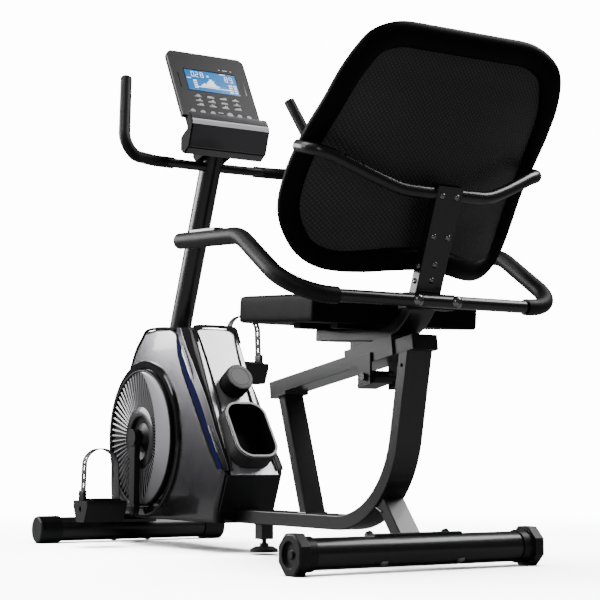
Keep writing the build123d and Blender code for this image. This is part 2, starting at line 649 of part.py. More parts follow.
def console_button(y, radius):
    button = extrude(face_plane(BUTTON_UP, 2.0) * Location((y, 0)) * Circle(radius), 5)
    return fillet(button.faces().sort_by(Axis((0, 0, 0), FACE_OUT))[-1].edges(), 0.8)


def console_housing():
    """Back shell of the console with the boss that takes the mast's top."""
    plate = face_slab(0.5, FACE_LEN, FACE_HALF, -6.5, -12, 18)
    rim = face_slab(0.5, FACE_LEN, FACE_HALF, -4, -6.5, 18) - face_slab(-5, FACE_LEN - 4, FACE_HALF - 4, -3, -8, 14)
    boss = side_prism([(783, 1012), (786, 938), (836, 924), (850, 938), (840, 1040), (826, 1085)], -38, 38)
    boss -= face_slab(-20, FACE_LEN, FACE_HALF, 60, -12, 0)
    return plate + rim + boss - mast_solid(mast_section(), 800, MAST_TOP_Z)


def console_shelf():
    """Ledge under the face that holds a tablet, with its pale lip and chamfered chin."""
    outline = [(771, 1018), (752, 1008), (741, 1023), (729, 1004), (727, 993), (745, 941), (769, 927),
               (785, 938), (782, 1010)]
    shelf = side_prism(outline, -106, 106)
    cavity = side_prism([(770, 1004), (752, 1004), (734, 995), (749, 945), (770, 932), (786, 942), (783, 1004)],
                        -102, 102)
    shelf = shelf - cavity
    return shelf - face_slab(-40, FACE_LEN, FACE_HALF + 5, 0, -40, 0) - console_housing()


# ---------------------------------------------------------------- seat
SADDLE_FROM, SADDLE_TO = 29.0, 196.0
SADDLE_TOP = 10.0           # above the rail's top face
CLAMP_X, CLAMP_Z = 116.0, 376.0


def seat_saddle():
    """Channel that slides on the rail, with the two clamp ears under it."""
    top = BEAM_T / 2 + SADDLE_TOP
    body = rail_block(SADDLE_FROM, SADDLE_TO, -35, 35, -BEAM_T / 2, top)
    body -= rail_block(0, 300, -30.4, 30.4, -40, BEAM_T / 2 + 0.4)
    ears = []
    for side, low in ((1, 362), (-1, 352)):
        ear = side_prism([(97, low), (141, low), (141, 418), (97, 424)], side * 35, side * 40)
        ear -= cross_rod(CLAMP_X, CLAMP_Z, side * 30, side * 45, 4.1)
        ears.append(ear)
    return body + ears[0] + ears[1]


def lock_lever():
    """Cam and paddle between the clamp ears, turning on the cross bolt."""
    cam = cross_rod(CLAMP_X, CLAMP_Z, -24, 24, 13)
    paddle = side_prism([(112, 364), (166, 354), (170, 362), (116, 384)], -22, 22)
    return cam + paddle - cross_rod(CLAMP_X, CLAMP_Z, -50, 50, 4.08)


def post_x(z):
    """Rear face of the back post."""
    return -46 - (z - 533) * POST_SLOPE


POST_OUT = Vector(-1, 0, -POST_SLOPE).normalized()


def beam_path():
    middle = Vector(post_x(SEAM_Z), 0, SEAM_Z) - POST_OUT * (POST_T / 2)
    corner = (middle.X + (middle.Z - 451.9) * POST_SLOPE, 0, 451.9)
    return bent_path([(311, 0, 471.3), corner, tuple(middle)], [128.0])


def seat_post():
    """Beam under the cushion, bent up into the back post, with its riser and cross straps."""
    post = swept(hollow_box(POST_W, POST_T, 2.5), beam_path(), across=(0, 1, 0))
    riser = side_prism([(103, rail_height(103, SADDLE_TOP)), (187, rail_height(187, SADDLE_TOP)),
                        (187, 451.5), (103, 446.5)], -27, 27)
    solid = post + riser
    for x in (130, 270):
        low, high = 471.9 - (200 - x) * 0.0625 + 2 * 2.0, 488.0 + (x - 200) * 0.0721
        solid += side_prism([(x, low), (x + 26, low + 1.6), (x + 26, high + 1.6), (x, high)], -95, 95)
    arm = side_prism([(-38, 500), (-52, 500), (-52, 530), (-30, 530), (-24, 500)], -58, 58)
    arm -= swept(Rectangle(POST_W - 1, POST_T - 1), beam_path(), across=(0, 1, 0))
    solid += arm
    solid -= cross_rod(BAR_X, BAR_Z, -80, 80, BAR_R)
    return solid - saddle_keep_out()


def saddle_keep_out():
    return rail_block(0, 300, -40, 40, -20, BEAM_T / 2 + SADDLE_TOP)


BAR_X, BAR_Z = -64.0, 514.0


def seat_cushion():
    """Plain closed pad: wide at the back, narrowing towards the front."""
    tilt = Location((58, 0, 478), (0, -4.125, 0))
    outline = Polyline((0, -200), (337, -168), (417, -118), (417, 118), (337, 168), (0, 200), close=True)
    pad = extrude(make_face(outline), 50)
    pad = fillet(pad.edges().filter_by(Axis.Z), 24)
    pad = fillet(pad.faces().sort_by(Axis.Z)[-1].edges(), 9)
    return tilt * pad


def seat_bar_points():
    half = [(BAR_X, 322, BAR_Z), (127, 321, 641), (366, 321, 657)]
    return [(x, -y, z) for x, y, z in reversed(half)] + half


def seat_handlebar():
    path = bent_path(seat_bar_points(), [90, 90, 90, 90])
    return swept(ring(BAR_R), path)


def seat_grips():
    """Foam sleeves from the straight bar round both bends, closed at the front."""
    ends = seat_bar_points()[3:]
    tip = (372, 321, 657.4)
    foam = swept(Circle(BAR_FOAM_R), bent_path([(BAR_X, 225, BAR_Z), ends[0], ends[1], tip], [90, 90]))
    foam -= swept(Circle(BAR_R), bent_path([(BAR_X, 224, BAR_Z), *ends], [90, 90]))
    foam = max(foam.solids(), key=lambda s: s.volume)
    foam -= pulse_block(0)
    return pair(foam)


def pulse_block(grow):
    """Pocket of a pulse sensor plate on top of the left grip."""
    plate = extrude(RectangleRounded(118 + grow, 22 + grow, 9), 6.4)
    return Location((262, 321, 650.1 + 12.7), (0, -3.8, 0)) * plate


def pulse_plates():
    return pair(pulse_block(-0.4))


def back_bracket():
    """Channel that carries the backrest's tube, with the tongue that fits the post."""
    low = Vector(post_x(SEAM_Z), 0, SEAM_Z) - POST_OUT * (POST_T / 2)
    high = Vector(post_x(BRACKET_TOP_Z), 0, BRACKET_TOP_Z) - POST_OUT * (POST_T / 2)
    path = Wire([Line(low, high)])
    channel = swept(hollow_box(POST_W, POST_T, 3), path, across=(0, 1, 0))
    down = (low - high).normalized()
    tongue_path = Wire([Line(low + down * 55, low - down * 20)])
    tongue = swept(Rectangle(POST_W - 6.2, POST_T - 6.2), tongue_path, across=(0, 1, 0))
    return channel + tongue - support_tube()


def support_tube():
    """Curved tube behind the backrest, from the bracket out to both sides of the rim."""
    half = [(-102, 100, 716), (-64, 274, 784), (-8, 277, 800)]
    points = [(x, -y, z) for x, y, z in reversed(half)] + half
    tube = swept(hollow_box(20, 24, 2), bent_path(points, [26, 110, 110, 26]), across=(0, 1, 0))
    return max((tube - back_rim()).solids(), key=lambda s: s.volume)


def back_rim():
    """Padded roll round the backrest: straight top, sides wrapped forwards."""
    half = [(-172, 0, 993), (-165, 216, 992), (-85, 250, 866), (28, 264, 741), (60, 258, 655),
            (56, 205, 594), (6, 110, 596), (-18, 0, 610)]
    side = swept(Circle(RIM_R), bent_path(half, [55, 160, 130, 45, 45, 90]))
    return side + mirrored(side)


MESH_LEVELS = [(597, 120, 8, -18), (607, 215, 54, -18), (630, 240, 58, -27), (660, 252, 58, -38),
               (705, 255, 46, -56), (762, 254, 12, -79), (823, 250, -42, -103), (880, 243, -94, -126),
               (930, 231, -130, -146), (975, 212, -158, -165), (990, 150, -168, -171)]


def back_mesh():
    """Thin curved panel inside the rim, through level sections of (z, half width, side x, middle x)."""
    def level(z, half, side_x, middle_x, thick=2.5):
        rear = ThreePointArc((side_x, -half, z), (middle_x, 0, z), (side_x, half, z))
        front = ThreePointArc((side_x + thick, -half, z), (middle_x + thick, 0, z), (side_x + thick, half, z))
        ends = [Line(rear @ 0, front @ 0), Line(rear @ 1, front @ 1)]
        return make_face([rear, front, *ends])
    panel = loft([level(*row) for row in MESH_LEVELS], ruled=True) - back_rim()
    return max(panel.solids(), key=lambda s: s.volume)


def seat_fasteners():
    """Bolts of the seat: bracket, tongue, handlebar and clamp."""
    solids = []
    for z, half in ((709, 17), (635, 17), (584, 0), (555, 0)):
        for y in ((-half, half) if half else (0,)):
            solids += dome_bolt((post_x(z), y, z), POST_OUT, 6.5, 4.5, 3, 12).solids()
    for z in (582, 554):
        foot = (post_x(z) + POST_T / 2 * 1.07, POST_W / 2, z)
        solids += dome_bolt(foot, (0, 1, 0), 6, 4, 3, 10).solids()
    for y in (-46, 46):
        solids += dome_bolt((BAR_X - BAR_R + 0.5, y, BAR_Z), (-1, 0, 0), 12, 8, 4.5, 32).solids()
    clamp = hex_bolt((CLAMP_X, 40, CLAMP_Z), (0, 1, 0), 14, 7, 4, 80)
    clamp += hex_bolt((CLAMP_X, -40, CLAMP_Z), (0, -1, 0), 14, 7, 4, 2)
    return Compound(solids + clamp.solids())


# ---------------------------------------------------------------- assembly
def build():
    left_roller, left_arm = transport_roller(), crank_arm()
    right_arm = left_arm.rotate(Axis((CRANK_X, 0, CRANK_Z), (1, 0, 0)), 180)
    shell = side_shell()
    nodes = {
        "main_frame": main_frame(), "seat_rail": seat_rail(), "rail_end_plugs": rail_end_plugs(),
        "frame_struts": Compound(frame_struts().solids() + saddle_plates().solids()),
        "rear_stabilizer": stabilizer(0, REAR_AXIS_Z, REAR_HALF - 12),
        "front_stabilizer": stabilizer(FRONT_X, FRONT_AXIS_Z, FRONT_HALF - 6),
        "rear_foot_caps": rear_foot_caps(),
        "transport_roller_left": left_roller, "transport_roller_right": mirrored(left_roller),
        "frame_fasteners": frame_fasteners(), "leveller_foot": leveller_foot(),
        "mast": mast(), "drive_bracket": drive_bracket(), "crank_bearings": crank_bearings(),
        "crank_axles": crank_axles(), "crank_arm_left": left_arm, "crank_arm_right": right_arm,
        "turning_discs": turning_discs(), "drive_pulley": drive_pulley(), "drive_belt": drive_belt(),
        "flywheel_axle": flywheel_axle(), "flywheel": Compound(flywheel().solids() + belt_pinion().solids()),
        "magnet_shoe": magnet_shoe(),
        "pedal_left": pedal(1), "pedal_right": pedal(-1), "strap_left": strap(1), "strap_right": strap(-1),
        "shroud_left": shell, "shroud_right": mirrored(shell), "rear_cover": rear_cover(),
        "spine_panel": spine_panel(), "bottle_cup": bottle_cup(), "bottle_rim": bottle_rim(),
        "side_rings": side_rings(), "accent_strips": accent_strips(), "tension_knob": tension_knob(),
        "front_handlebar": front_handlebar(), "front_grips": front_grips(),
        "console_face": console_face(), "console_screen": console_screen(),
        "console_housing": console_housing(), "console_shelf": console_shelf(),
        "seat_saddle": seat_saddle(), "lock_lever": lock_lever(), "seat_post": seat_post(),
        "seat_cushion": seat_cushion(), "seat_handlebar": seat_handlebar(), "seat_grips": seat_grips(),
        "pulse_plates": pulse_plates(), "back_bracket": back_bracket(), "support_tube": support_tube(),
        "back_rim": back_rim(), "back_mesh": back_mesh(), "seat_fasteners": seat_fasteners(),
    }
    for name in ("front_stabilizer", "rear_stabilizer", "frame_struts", "mast", "drive_bracket", "main_frame"):
        nodes[name] = nodes[name] - nodes["frame_fasteners"]
    for name in ("seat_handlebar", "seat_post", "support_tube", "back_bracket"):
        nodes[name] = nodes[name] - nodes["seat_fasteners"]
    nodes["frame_struts"] = nodes["frame_struts"] - nodes["main_frame"]
    for name, (y, radius) in BUTTONS.items():
        nodes[name] = console_button(y, radius)
    return nodes


def main():
    os.makedirs("parts", exist_ok=True)
    for name, shape in build().items():
        placed = Location((-ORIGIN_X, 0, 0)) * shape
        export_step(placed, f"parts/{name}.step")
        box = placed.bounding_box()
        print(f"{name:24s} {len(placed.solids()):3d} {placed.volume / 1000:10.1f} cm3 "
              f"x {box.min.X:8.1f} {box.max.X:8.1f}  y {box.min.Y:8.1f} {box.max.Y:8.1f}  "
              f"z {box.min.Z:8.1f} {box.max.Z:8.1f}")


if __name__ == "__main__":
    main()
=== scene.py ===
"""Recumbent exercise bike: finishes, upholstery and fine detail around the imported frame."""

import logging
from dataclasses import dataclass, field
from enum import Enum
from math import cos, pi, radians, sin
from typing import Callable, Iterable, Sequence

import bmesh
import bpy
from mathutils import Matrix, Vector


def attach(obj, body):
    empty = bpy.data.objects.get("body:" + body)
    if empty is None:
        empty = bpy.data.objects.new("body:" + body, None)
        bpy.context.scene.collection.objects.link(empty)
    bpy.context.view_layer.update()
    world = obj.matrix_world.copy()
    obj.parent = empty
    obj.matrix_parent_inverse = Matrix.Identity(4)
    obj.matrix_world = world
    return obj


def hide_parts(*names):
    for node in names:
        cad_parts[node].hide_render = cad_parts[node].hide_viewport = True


log = logging.getLogger("bike")
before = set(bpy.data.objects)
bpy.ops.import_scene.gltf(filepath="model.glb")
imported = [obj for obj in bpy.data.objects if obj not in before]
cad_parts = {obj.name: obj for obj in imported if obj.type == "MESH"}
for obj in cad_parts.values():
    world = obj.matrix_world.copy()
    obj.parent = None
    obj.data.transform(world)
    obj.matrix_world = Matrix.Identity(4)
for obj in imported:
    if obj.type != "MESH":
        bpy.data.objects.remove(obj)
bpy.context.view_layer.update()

ORIGIN_X = 544.5                       # millimetres from the rear stabilizer to the middle of the bike
AXLE_X, AXLE_Z = 1010.0, 262.0         # crank axle
CRANK_MM = 170.0
SIDES = ((1, "left"), (-1, "right"))
Rows = Sequence[tuple[float, ...]]
Station = tuple[Vector, Vector, float, float]   # centre, flat direction, half width along it, half thickness


# ---------------------------------------------------------------- small tools
def at(x: float, y: float, z: float) -> Vector:
    """Point in metres from millimetres measured off the rear stabilizer's axis.

    Args:
        x: millimetres forward of the rear stabilizer.
        y: millimetres to the rider's left.
        z: millimetres above the floor.

    Returns:
        The point in the model's frame.
    """
    return Vector(((x - ORIGIN_X) / 1000, y / 1000, z / 1000))


def linear(code: str) -> tuple[float, float, float, float]:
    """Turns an sRGB hex colour to linear light.

    Args:
        code: six hex digits with a leading hash.

    Returns:
        Red, green, blue and alpha.
    """
    parts = [int(code[i:i + 2], 16) / 255 for i in (1, 3, 5)]
    red, green, blue = (c / 12.92 if c <= 0.04045 else ((c + 0.055) / 1.055) ** 2.4 for c in parts)
    return red, green, blue, 1.0


def add_node(tree: bpy.types.NodeTree, kind: str, inputs: dict | None = None, **settings) -> bpy.types.Node:
    """Adds one shader node with its settings, values and links.

    Args:
        tree: the material's node tree.
        kind: the node's type name.
        inputs: socket name or index to a value, or to an output socket to link.
        settings: attributes to set on the node.

    Returns:
        The new node.
    """
    node = tree.nodes.new(kind)
    for key, value in settings.items():
        setattr(node, key, value)
    for socket, value in (inputs or {}).items():
        if isinstance(value, bpy.types.NodeSocket):
            tree.links.new(value, node.inputs[socket])
        else:
            node.inputs[socket].default_value = value
    return node


def blended(rows: Rows, key: float) -> tuple[float, ...]:
    """Interpolates smoothly in a table sorted by its first column.

    Args:
        rows: rows of a key followed by values.
        key: where to read the table.

    Returns:
        The values at the key.
    """
    keys = [r[0] for r in rows]
    i = max(0, min(len(rows) - 2, sum(k <= key for k in keys) - 1))
    before, a, b, after = rows[max(i - 1, 0)], rows[i], rows[i + 1], rows[min(i + 2, len(rows) - 1)]
    t = max(0.0, min(1.0, (key - a[0]) / (b[0] - a[0])))
    out = []
    for p0, p1, p2, p3 in zip(before[1:], a[1:], b[1:], after[1:]):
        out.append(0.5 * (2 * p1 + (p2 - p0) * t + (2 * p0 - 5 * p1 + 4 * p2 - p3) * t * t
                          + (3 * p1 - p0 - 3 * p2 + p3) * t ** 3))
    return tuple(out)


# ---------------------------------------------------------------- finishes
class Surface(Enum):
    """How a surface was made, which sets its fine relief."""

    GRAINED = "moulded grain"
    POLISHED = "polished"
    COATED = "powder coated"
    BRUSHED = "brushed"
    CAST = "cast"
    FOAMED = "foamed"
    LEATHERY = "embossed vinyl"
    WOVEN = "woven"


PAINTED_SHADE = "#0e0d0f"           # painted shade: the dark that a finish is darkened to between two heights
BEHIND_CLOTH = "#050506"    # seen through the holes of a weave
GLOSS_SPREAD = 0.03         # how much a surface's roughness varies over it


@dataclass(frozen=True)
class Finish:
    """One finish: its colours, its gloss, the size of its relief and the heights between which painted shade
    darkens it.
    """

    name: str
    surface: Surface
    dark: str
    light: str
    roughness: float
    grain_mm: float = 1.0
    relief_mm: float = 0.05
    metallic: float = 0.0
    coat: float = 0.0
    sheen: float = 0.0
    ior: float = 1.5
    glow: float = 0.0
    painted_shade_mm: tuple[float, float] = (0.0, 0.0)

    def material(self) -> bpy.types.Material:
        """Makes the material the first time it is asked for.

        Returns:
            The material.
        """
        found = bpy.data.materials.get(self.name)
        if found:
            return found
        made = bpy.data.materials.new(self.name)
        made.use_nodes = True
        tree = made.node_tree
        shader = tree.nodes["Principled BSDF"]
        place = add_node(tree, "ShaderNodeTexCoord").outputs["Object"]
        cloud = add_node(tree, "ShaderNodeTexNoise", {"Vector": place, "Scale": 9.0, "Detail": 5.0})
        tone = add_node(tree, "ShaderNodeMix",
                        {0: cloud.outputs["Fac"], 6: linear(self.dark), 7: linear(self.light)},
                        data_type="RGBA")
        height, mask = self.relief(tree, place)
        colour = tone.outputs[2]
        if mask is not None:
            shade = add_node(tree, "ShaderNodeMix", {0: mask, 6: linear(BEHIND_CLOTH), 7: colour},
                             data_type="RGBA")
            colour = shade.outputs[2]
        # Painted shade: the colour is darkened towards near-black between two heights
        if self.painted_shade_mm[1]:
            level = add_node(tree, "ShaderNodeSeparateXYZ", {0: place})
            low, high = (mm / 1000 for mm in self.painted_shade_mm)
            share = add_node(tree, "ShaderNodeMapRange",
                             {"Value": level.outputs[2], "From Min": low, "From Max": high},
                             interpolation_type="SMOOTHSTEP")
            painted_shade_mix = add_node(tree, "ShaderNodeMix", {0: share.outputs[0], 6: linear(PAINTED_SHADE), 7: colour},
                             data_type="RGBA")
            colour = painted_shade_mix.outputs[2]
        tree.links.new(colour, shader.inputs["Base Color"])
        smear = add_node(tree, "ShaderNodeTexNoise", {"Vector": place, "Scale": 24.0, "Detail": 2.0})
        rough = add_node(tree, "ShaderNodeMapRange",
                         {"Value": smear.outputs["Fac"], "From Min": 0.3, "From Max": 0.7,
                          "To Min": max(self.roughness - GLOSS_SPREAD / 2, 0.02),
                          "To Max": self.roughness + GLOSS_SPREAD / 2})
        tree.links.new(rough.outputs[0], shader.inputs["Roughness"])
        if self.relief_mm:
            bump = add_node(tree, "ShaderNodeBump",
                            {"Height": height, "Distance": self.relief_mm / 1000, "Strength": 0.6})
            tree.links.new(bump.outputs[0], shader.inputs["Normal"])
        shader.inputs["Metallic"].default_value = self.metallic
        if not self.metallic:
            shader.inputs["IOR"].default_value = self.ior
        shader.inputs["Coat Weight"].default_value = self.coat
        shader.inputs["Coat Roughness"].default_value = 0.06
        shader.inputs["Sheen Weight"].default_value = self.sheen
        shader.inputs["Sheen Roughness"].default_value = 0.45
        if self.glow:
            tree.links.new(colour, shader.inputs["Emission Color"])
            shader.inputs["Emission Strength"].default_value = self.glow
        return made

    def relief(self, tree: bpy.types.NodeTree, place: bpy.types.NodeSocket) -> tuple:
        """Height of the surface's relief, and a mask of its open holes if it has any.

        Args:
            tree: the material's node tree.
            place: the coordinates to read.

        Returns:
            The height socket, and the mask socket or None.
        """
        scale = 1000 / self.grain_mm
        if self.surface is Surface.BRUSHED:
            stretched = add_node(tree, "ShaderNodeMapping", {"Vector": place, "Scale": (1, 24, 24)})
            noise = add_node(tree, "ShaderNodeTexNoise",
                             {"Vector": stretched.outputs[0], "Scale": scale / 24, "Detail": 4.0})
            return noise.outputs["Fac"], None
        if self.surface in (Surface.LEATHERY, Surface.FOAMED):
            cells = add_node(tree, "ShaderNodeTexVoronoi", {"Vector": place, "Scale": scale},
                             feature="SMOOTH_F1")
            folds = add_node(tree, "ShaderNodeTexNoise", {"Vector": place, "Scale": 60.0, "Detail": 3.0})
            total = add_node(tree, "ShaderNodeMath",
                             {0: folds.outputs["Fac"], 1: 1.5, 2: cells.outputs["Distance"]},
                             operation="MULTIPLY_ADD")
            return total.outputs[0], None
        if self.surface is Surface.WOVEN:
            # Threads cross at the pitch grain_mm, drawn slightly coarse so the holes still show
            waves = []
            for turn in (radians(45), radians(-45)):
                askew = add_node(tree, "ShaderNodeMapping", {"Vector": place, "Rotation": (turn, 0, 0)})
                inputs = {"Vector": askew.outputs[0], "Scale": scale / 20 * pi, "Distortion": 0.3}
                waves.append(add_node(tree, "ShaderNodeTexWave", inputs, bands_direction="Y"))
            both = add_node(tree, "ShaderNodeMath", {0: waves[0].outputs["Fac"], 1: waves[1].outputs["Fac"]},
                            operation="MULTIPLY")
            mask = add_node(tree, "ShaderNodeMapRange",
                            {"Value": both.outputs[0], "From Min": 0.1, "From Max": 0.55})
            return both.outputs[0], mask.outputs[0]
        noise = add_node(tree, "ShaderNodeTexNoise", {"Vector": place, "Scale": scale, "Detail": 3.0})
        return noise.outputs["Fac"], None


# Powder coat over steel: an even satin black
COAT_BLACK = Finish("powder coated steel", Surface.COATED, "#0b0b0c", "#100f11", 0.31, 2.2, 0.0, coat=0.2)
# Injection-moulded ABS from an eroded mould: soft highlights
ABS_GRAINED = Finish("ABS moulded black", Surface.GRAINED, "#09090a", "#0d0d0e", 0.42, 0.9, 0.0, ior=1.4)
# ABS from a polished mould: piano black with sharp highlights
ABS_POLISHED = Finish("ABS polished black", Surface.POLISHED, "#070708", "#0b0b0c", 0.14, 30, 0.0, coat=0.4)
# Lacquer with fine aluminium flake: silver, with painted shade that darkens it towards the floor
SILVER_LACQUER = Finish("ABS silver lacquered", Surface.POLISHED, "#807e83", "#88868b", 0.24, 40, 0.0, 0.85,
                        0.5, painted_shade_mm=(0, 430))
# The same lacquer in a pale shade: the spine's broad soft sheen; on the bevels it is also a thin painted
# highlight line
PALE_LACQUER_AND_HIGHLIGHT = Finish("ABS pale lacquered and painted highlight", Surface.POLISHED, "#c2c0c4", "#cccace", 0.36, 40, 0.0, 0.6, 0.3)
# A mid grey shade of it: on the bevels a painted reflection, a grey line between two blacks; on the ledge,
# its top and its chamfer
GREY_LACQUER_AND_REFLECTION = Finish("ABS grey lacquered and painted reflection", Surface.POLISHED, "#4a484b", "#535154", 0.3, 40, 0.0, 0.4, 0.4)
# Navy acrylic: deep colour with hardly any shine
NAVY_LACQUER = Finish("acrylic navy moulded", Surface.POLISHED, "#01052c", "#030c50", 0.5, 30, 0.0, ior=1.1)
# Satin silver ABS on the discs: broad sheen, with painted shade that darkens it towards the foot
CRESCENT_GREY = Finish("ABS satin silver", Surface.POLISHED, "#a5a3a7", "#afadb1", 0.34, 40, 0.0, 0.6, 0.2,
                       painted_shade_mm=(-60, 350))
# Bright silver ABS on the bevels, with painted shade that darkens it towards the floor
BEVEL_SILVER = Finish("ABS bright silver", Surface.POLISHED, "#8d8b8f", "#979599", 0.36, 40, 0.0, 0.35, 0.3,
                      painted_shade_mm=(120, 420))
# Silver ABS fins: each one a bright line
FIN_SILVER = Finish("ABS silver moulded", Surface.POLISHED, "#8a898c", "#949396", 0.34, 40, 0.0, 0.4)
# Graphite ABS: dark, with a clear highlight along its edges
RIM_GREY = Finish("ABS graphite moulded", Surface.POLISHED, "#1d1c1e", "#242325", 0.3, 40, 0.0, 0.2, 0.4)
# Matt graphite ABS: grey at the foot, with painted shadow that turns it black where it runs under the spine
CUP_GREY = Finish("ABS graphite shaded", Surface.GRAINED, "#2a292b", "#302f31", 0.5, 1.0, 0.0, ior=1.3,
                  painted_shade_mm=(300, 232))
# Satin grey ABS: the knob's cap, lighter than its side
KNOB_GREY = Finish("ABS satin grey cap", Surface.GRAINED, "#3a393b", "#414042", 0.45, 1.0, 0.0)
# Smoked glossy ABS: the console's chin, a dark mirror
LEDGE_GREY = Finish("ABS smoked gloss", Surface.POLISHED, "#343236", "#3c3a3e", 0.2, 40, 0.0, 0.2, 0.5)
# Painted highlight: glossy white ABS that glows a little, on the ledge's lip, the brightest moulding
LEDGE_HIGHLIGHT = Finish("ABS white gloss painted highlight", Surface.POLISHED, "#d8d6da", "#e2e0e4", 0.24, 40, 0.0, coat=0.4,
                     glow=0.12)
# Matt black ABS: reads as a shadow
MATT_BLACK = Finish("ABS matt black", Surface.GRAINED, "#060606", "#090909", 0.7, 1.0, 0.0, ior=1.25)
# Printed polycarbonate overlay: an even dark grey
FACE_GREY = Finish("polycarbonate overlay printed", Surface.GRAINED, "#302f31", "#363537", 0.42, 0.8, 0.0,
                   ior=1.3)
# Zinc-plated steel: bright screw heads
CHROMED = Finish("steel zinc plated", Surface.POLISHED, "#77777b", "#8b8b8f", 0.22, 12, 0.0, 1.0)
# Brushed steel: highlights drawn out along the axle
MACHINED = Finish("steel brushed", Surface.BRUSHED, "#8b8b8f", "#a2a2a6", 0.3, 0.6, 0.02, 1.0)
# Cast iron: dull and rough
CAST_IRON = Finish("iron cast", Surface.CAST, "#3c3c3f", "#4a4a4d", 0.5, 1.5, 0.1, 1.0)
# Foamed EVA sleeve: fine closed cells, soft sheen
FOAM_BLACK = Finish("EVA foamed", Surface.FOAMED, "#09090a", "#0d0d0e", 0.5, 1.6, 0.06, ior=1.32)
# Embossed PVC leathercloth: fine folds that break up the highlight
VINYL_BLACK = Finish("PVC leathercloth embossed", Surface.LEATHERY, "#080809", "#0c0c0d", 0.42, 2.0, 0.08,
                     ior=1.12)
# Woven polyester net: diagonal threads over a dark gap
MESH_BLACK = Finish("polyester woven", Surface.WOVEN, "#2a2a2d", "#343438", 0.5, 3.2, 0.5, sheen=0.06)
# Moulded rubber: dull black
RUBBER_BLACK = Finish("rubber moulded", Surface.GRAINED, "#0b0b0c", "#101011", 0.5, 1.2, 0.05)
# Backlit liquid crystal: glows blue through its cover
SCREEN_BLUE = Finish("liquid crystal backlit", Surface.POLISHED, "#0467ac", "#0b7cc8", 0.2, 50, 0.0, coat=0.3,
                     glow=0.55)
# Lit segments of it: near white
SEGMENT_WHITE = Finish("liquid crystal segment lit", Surface.POLISHED, "#e9f6fb", "#f6fcff", 0.3, 50, 0.0,
                       glow=0.8)
# Screen-printed ink: flat pale grey
PRINT_WHITE = Finish("ink screen printed", Surface.GRAINED, "#d8d8d8", "#e6e6e6", 0.5, 0.6, 0.01)
# Silicone rubber keys: pale grey with a soft sheen
KEY_GREY = Finish("silicone keys moulded", Surface.GRAINED, "#a4a4aa", "#b9b9bf", 0.3, 0.8, 0.02)


# ---------------------------------------------------------------- making pieces
class Body(Enum):
    """Rigid bodies that pieces ride on."""

    FRAME = "frame"
    SEAT = "seat"
    CRANK = "crank"
    KNOB = "knob"
    LEVER = "lever"
    PEDAL_LEFT = "pedal_left"
    PEDAL_RIGHT = "pedal_right"


@dataclass
class Assembly:
    """A group of pieces on one body."""

    body: Body
    made: list[str] = field(default_factory=list)

    def piece(self, name: str, mesh: bmesh.types.BMesh, finishes: Finish | Sequence[Finish], slot: str,
              replaces: Iterable[str] = (), body: Body | None = None,
              smooth: float | None = 35.0) -> bpy.types.Object:
        """Turns a bmesh into a piece that rides on a body.

        Args:
            name: the piece's name.
            mesh: the bmesh, which is freed.
            finishes: one finish or one for each material index.
            slot: the record's material slot, not used.
            replaces: CAD nodes that it stands for.
            body: the body to ride on, or None for the assembly's own.
            smooth: angle in degrees above which an edge stays sharp, or None to leave every edge soft.

        Returns:
            The new object.
        """
        data = bpy.data.meshes.new(name)
        mesh.to_mesh(data)
        mesh.free()
        for finish in ([finishes] if isinstance(finishes, Finish) else finishes):
            data.materials.append(finish.material())
        obj = bpy.data.objects.new(name, data)
        bpy.context.scene.collection.objects.link(obj)
        data.shade_smooth()
        if smooth is not None:
            data.set_sharp_from_angle(angle=radians(smooth))
        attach(obj, (body or self.body).value)
        if replaces:
            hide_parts(*replaces)
        self.made.append(name)
        log.info("piece %s", name)
        return obj

    def dress(self, finish: Finish, *nodes: str) -> None:
        """Gives CAD nodes a finish.

        Args:
            finish: the finish.
            nodes: names of the CAD nodes.
        """
        for node in nodes:
            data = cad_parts[node].data
            if not data.materials:
                data.materials.append(finish.material())
            for i in range(len(data.materials)):
                data.materials[i] = finish.material()

    def ease(self, node: str, finish: Finish, slot: str, width_mm: float, body: Body | None = None) -> None:
        """Stands a copy of a CAD node with eased, catching edges in for it.

        Args:
            node: the CAD node.
            finish: its finish.
            slot: the record's material slot.
            width_mm: how wide the edges are eased.
            body: the body to ride on, or None for the assembly's own.
        """
        bm = bmesh.new()
        bm.from_mesh(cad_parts[node].data)
        bmesh.ops.remove_doubles(bm, verts=bm.verts, dist=2e-5)
        bmesh.ops.dissolve_limit(bm, angle_limit=radians(0.5), verts=bm.verts, edges=bm.edges,
                                 delimit={"NORMAL"})
        obj = self.piece(node + "_eased", bm, finish, slot, [node], body, smooth=None)
        edge = obj.modifiers.new("eased edges", "BEVEL")
        edge.width, edge.segments, edge.limit_method = width_mm / 1000, 2, "ANGLE"
        edge.angle_limit, edge.harden_normals, edge.use_clamp_overlap = radians(38), True, True
        obj.modifiers.new("even shading", "WEIGHTED_NORMAL").keep_sharp = True


def facing(centre: Vector, axis: Vector) -> Matrix:
    """Placement that turns the Z axis to another one.

    Args:
        centre: where the origin goes.
        axis: where Z points.

    Returns:
        The placement.
    """
    return Matrix.Translation(centre) @ axis.to_track_quat("Z", "X").to_matrix().to_4x4()


def spun(bm: bmesh.types.BMesh, count: int) -> None:
    """Repeats all of a bmesh evenly round the Z axis.

    Args:
        bm: the bmesh.
        count: how many there are in the end.
    """
    bmesh.ops.spin(bm, geom=list(bm.verts) + list(bm.edges) + list(bm.faces), cent=(0, 0, 0), axis=(0, 0, 1),
                   angle=2 * pi * (count - 1) / count, steps=count - 1, use_duplicate=True)


def joined(parts: Iterable[bmesh.types.BMesh]) -> bmesh.types.BMesh:
    """Puts several bmeshes in one.

    Args:
        parts: the bmeshes, which are freed.

    Returns:
        The one that holds them all.
    """
    whole = bmesh.new()
    for part in parts:
        data = bpy.data.meshes.new("part")
        part.to_mesh(data)
        part.free()
        whole.from_mesh(data)
        bpy.data.meshes.remove(data)
    return whole


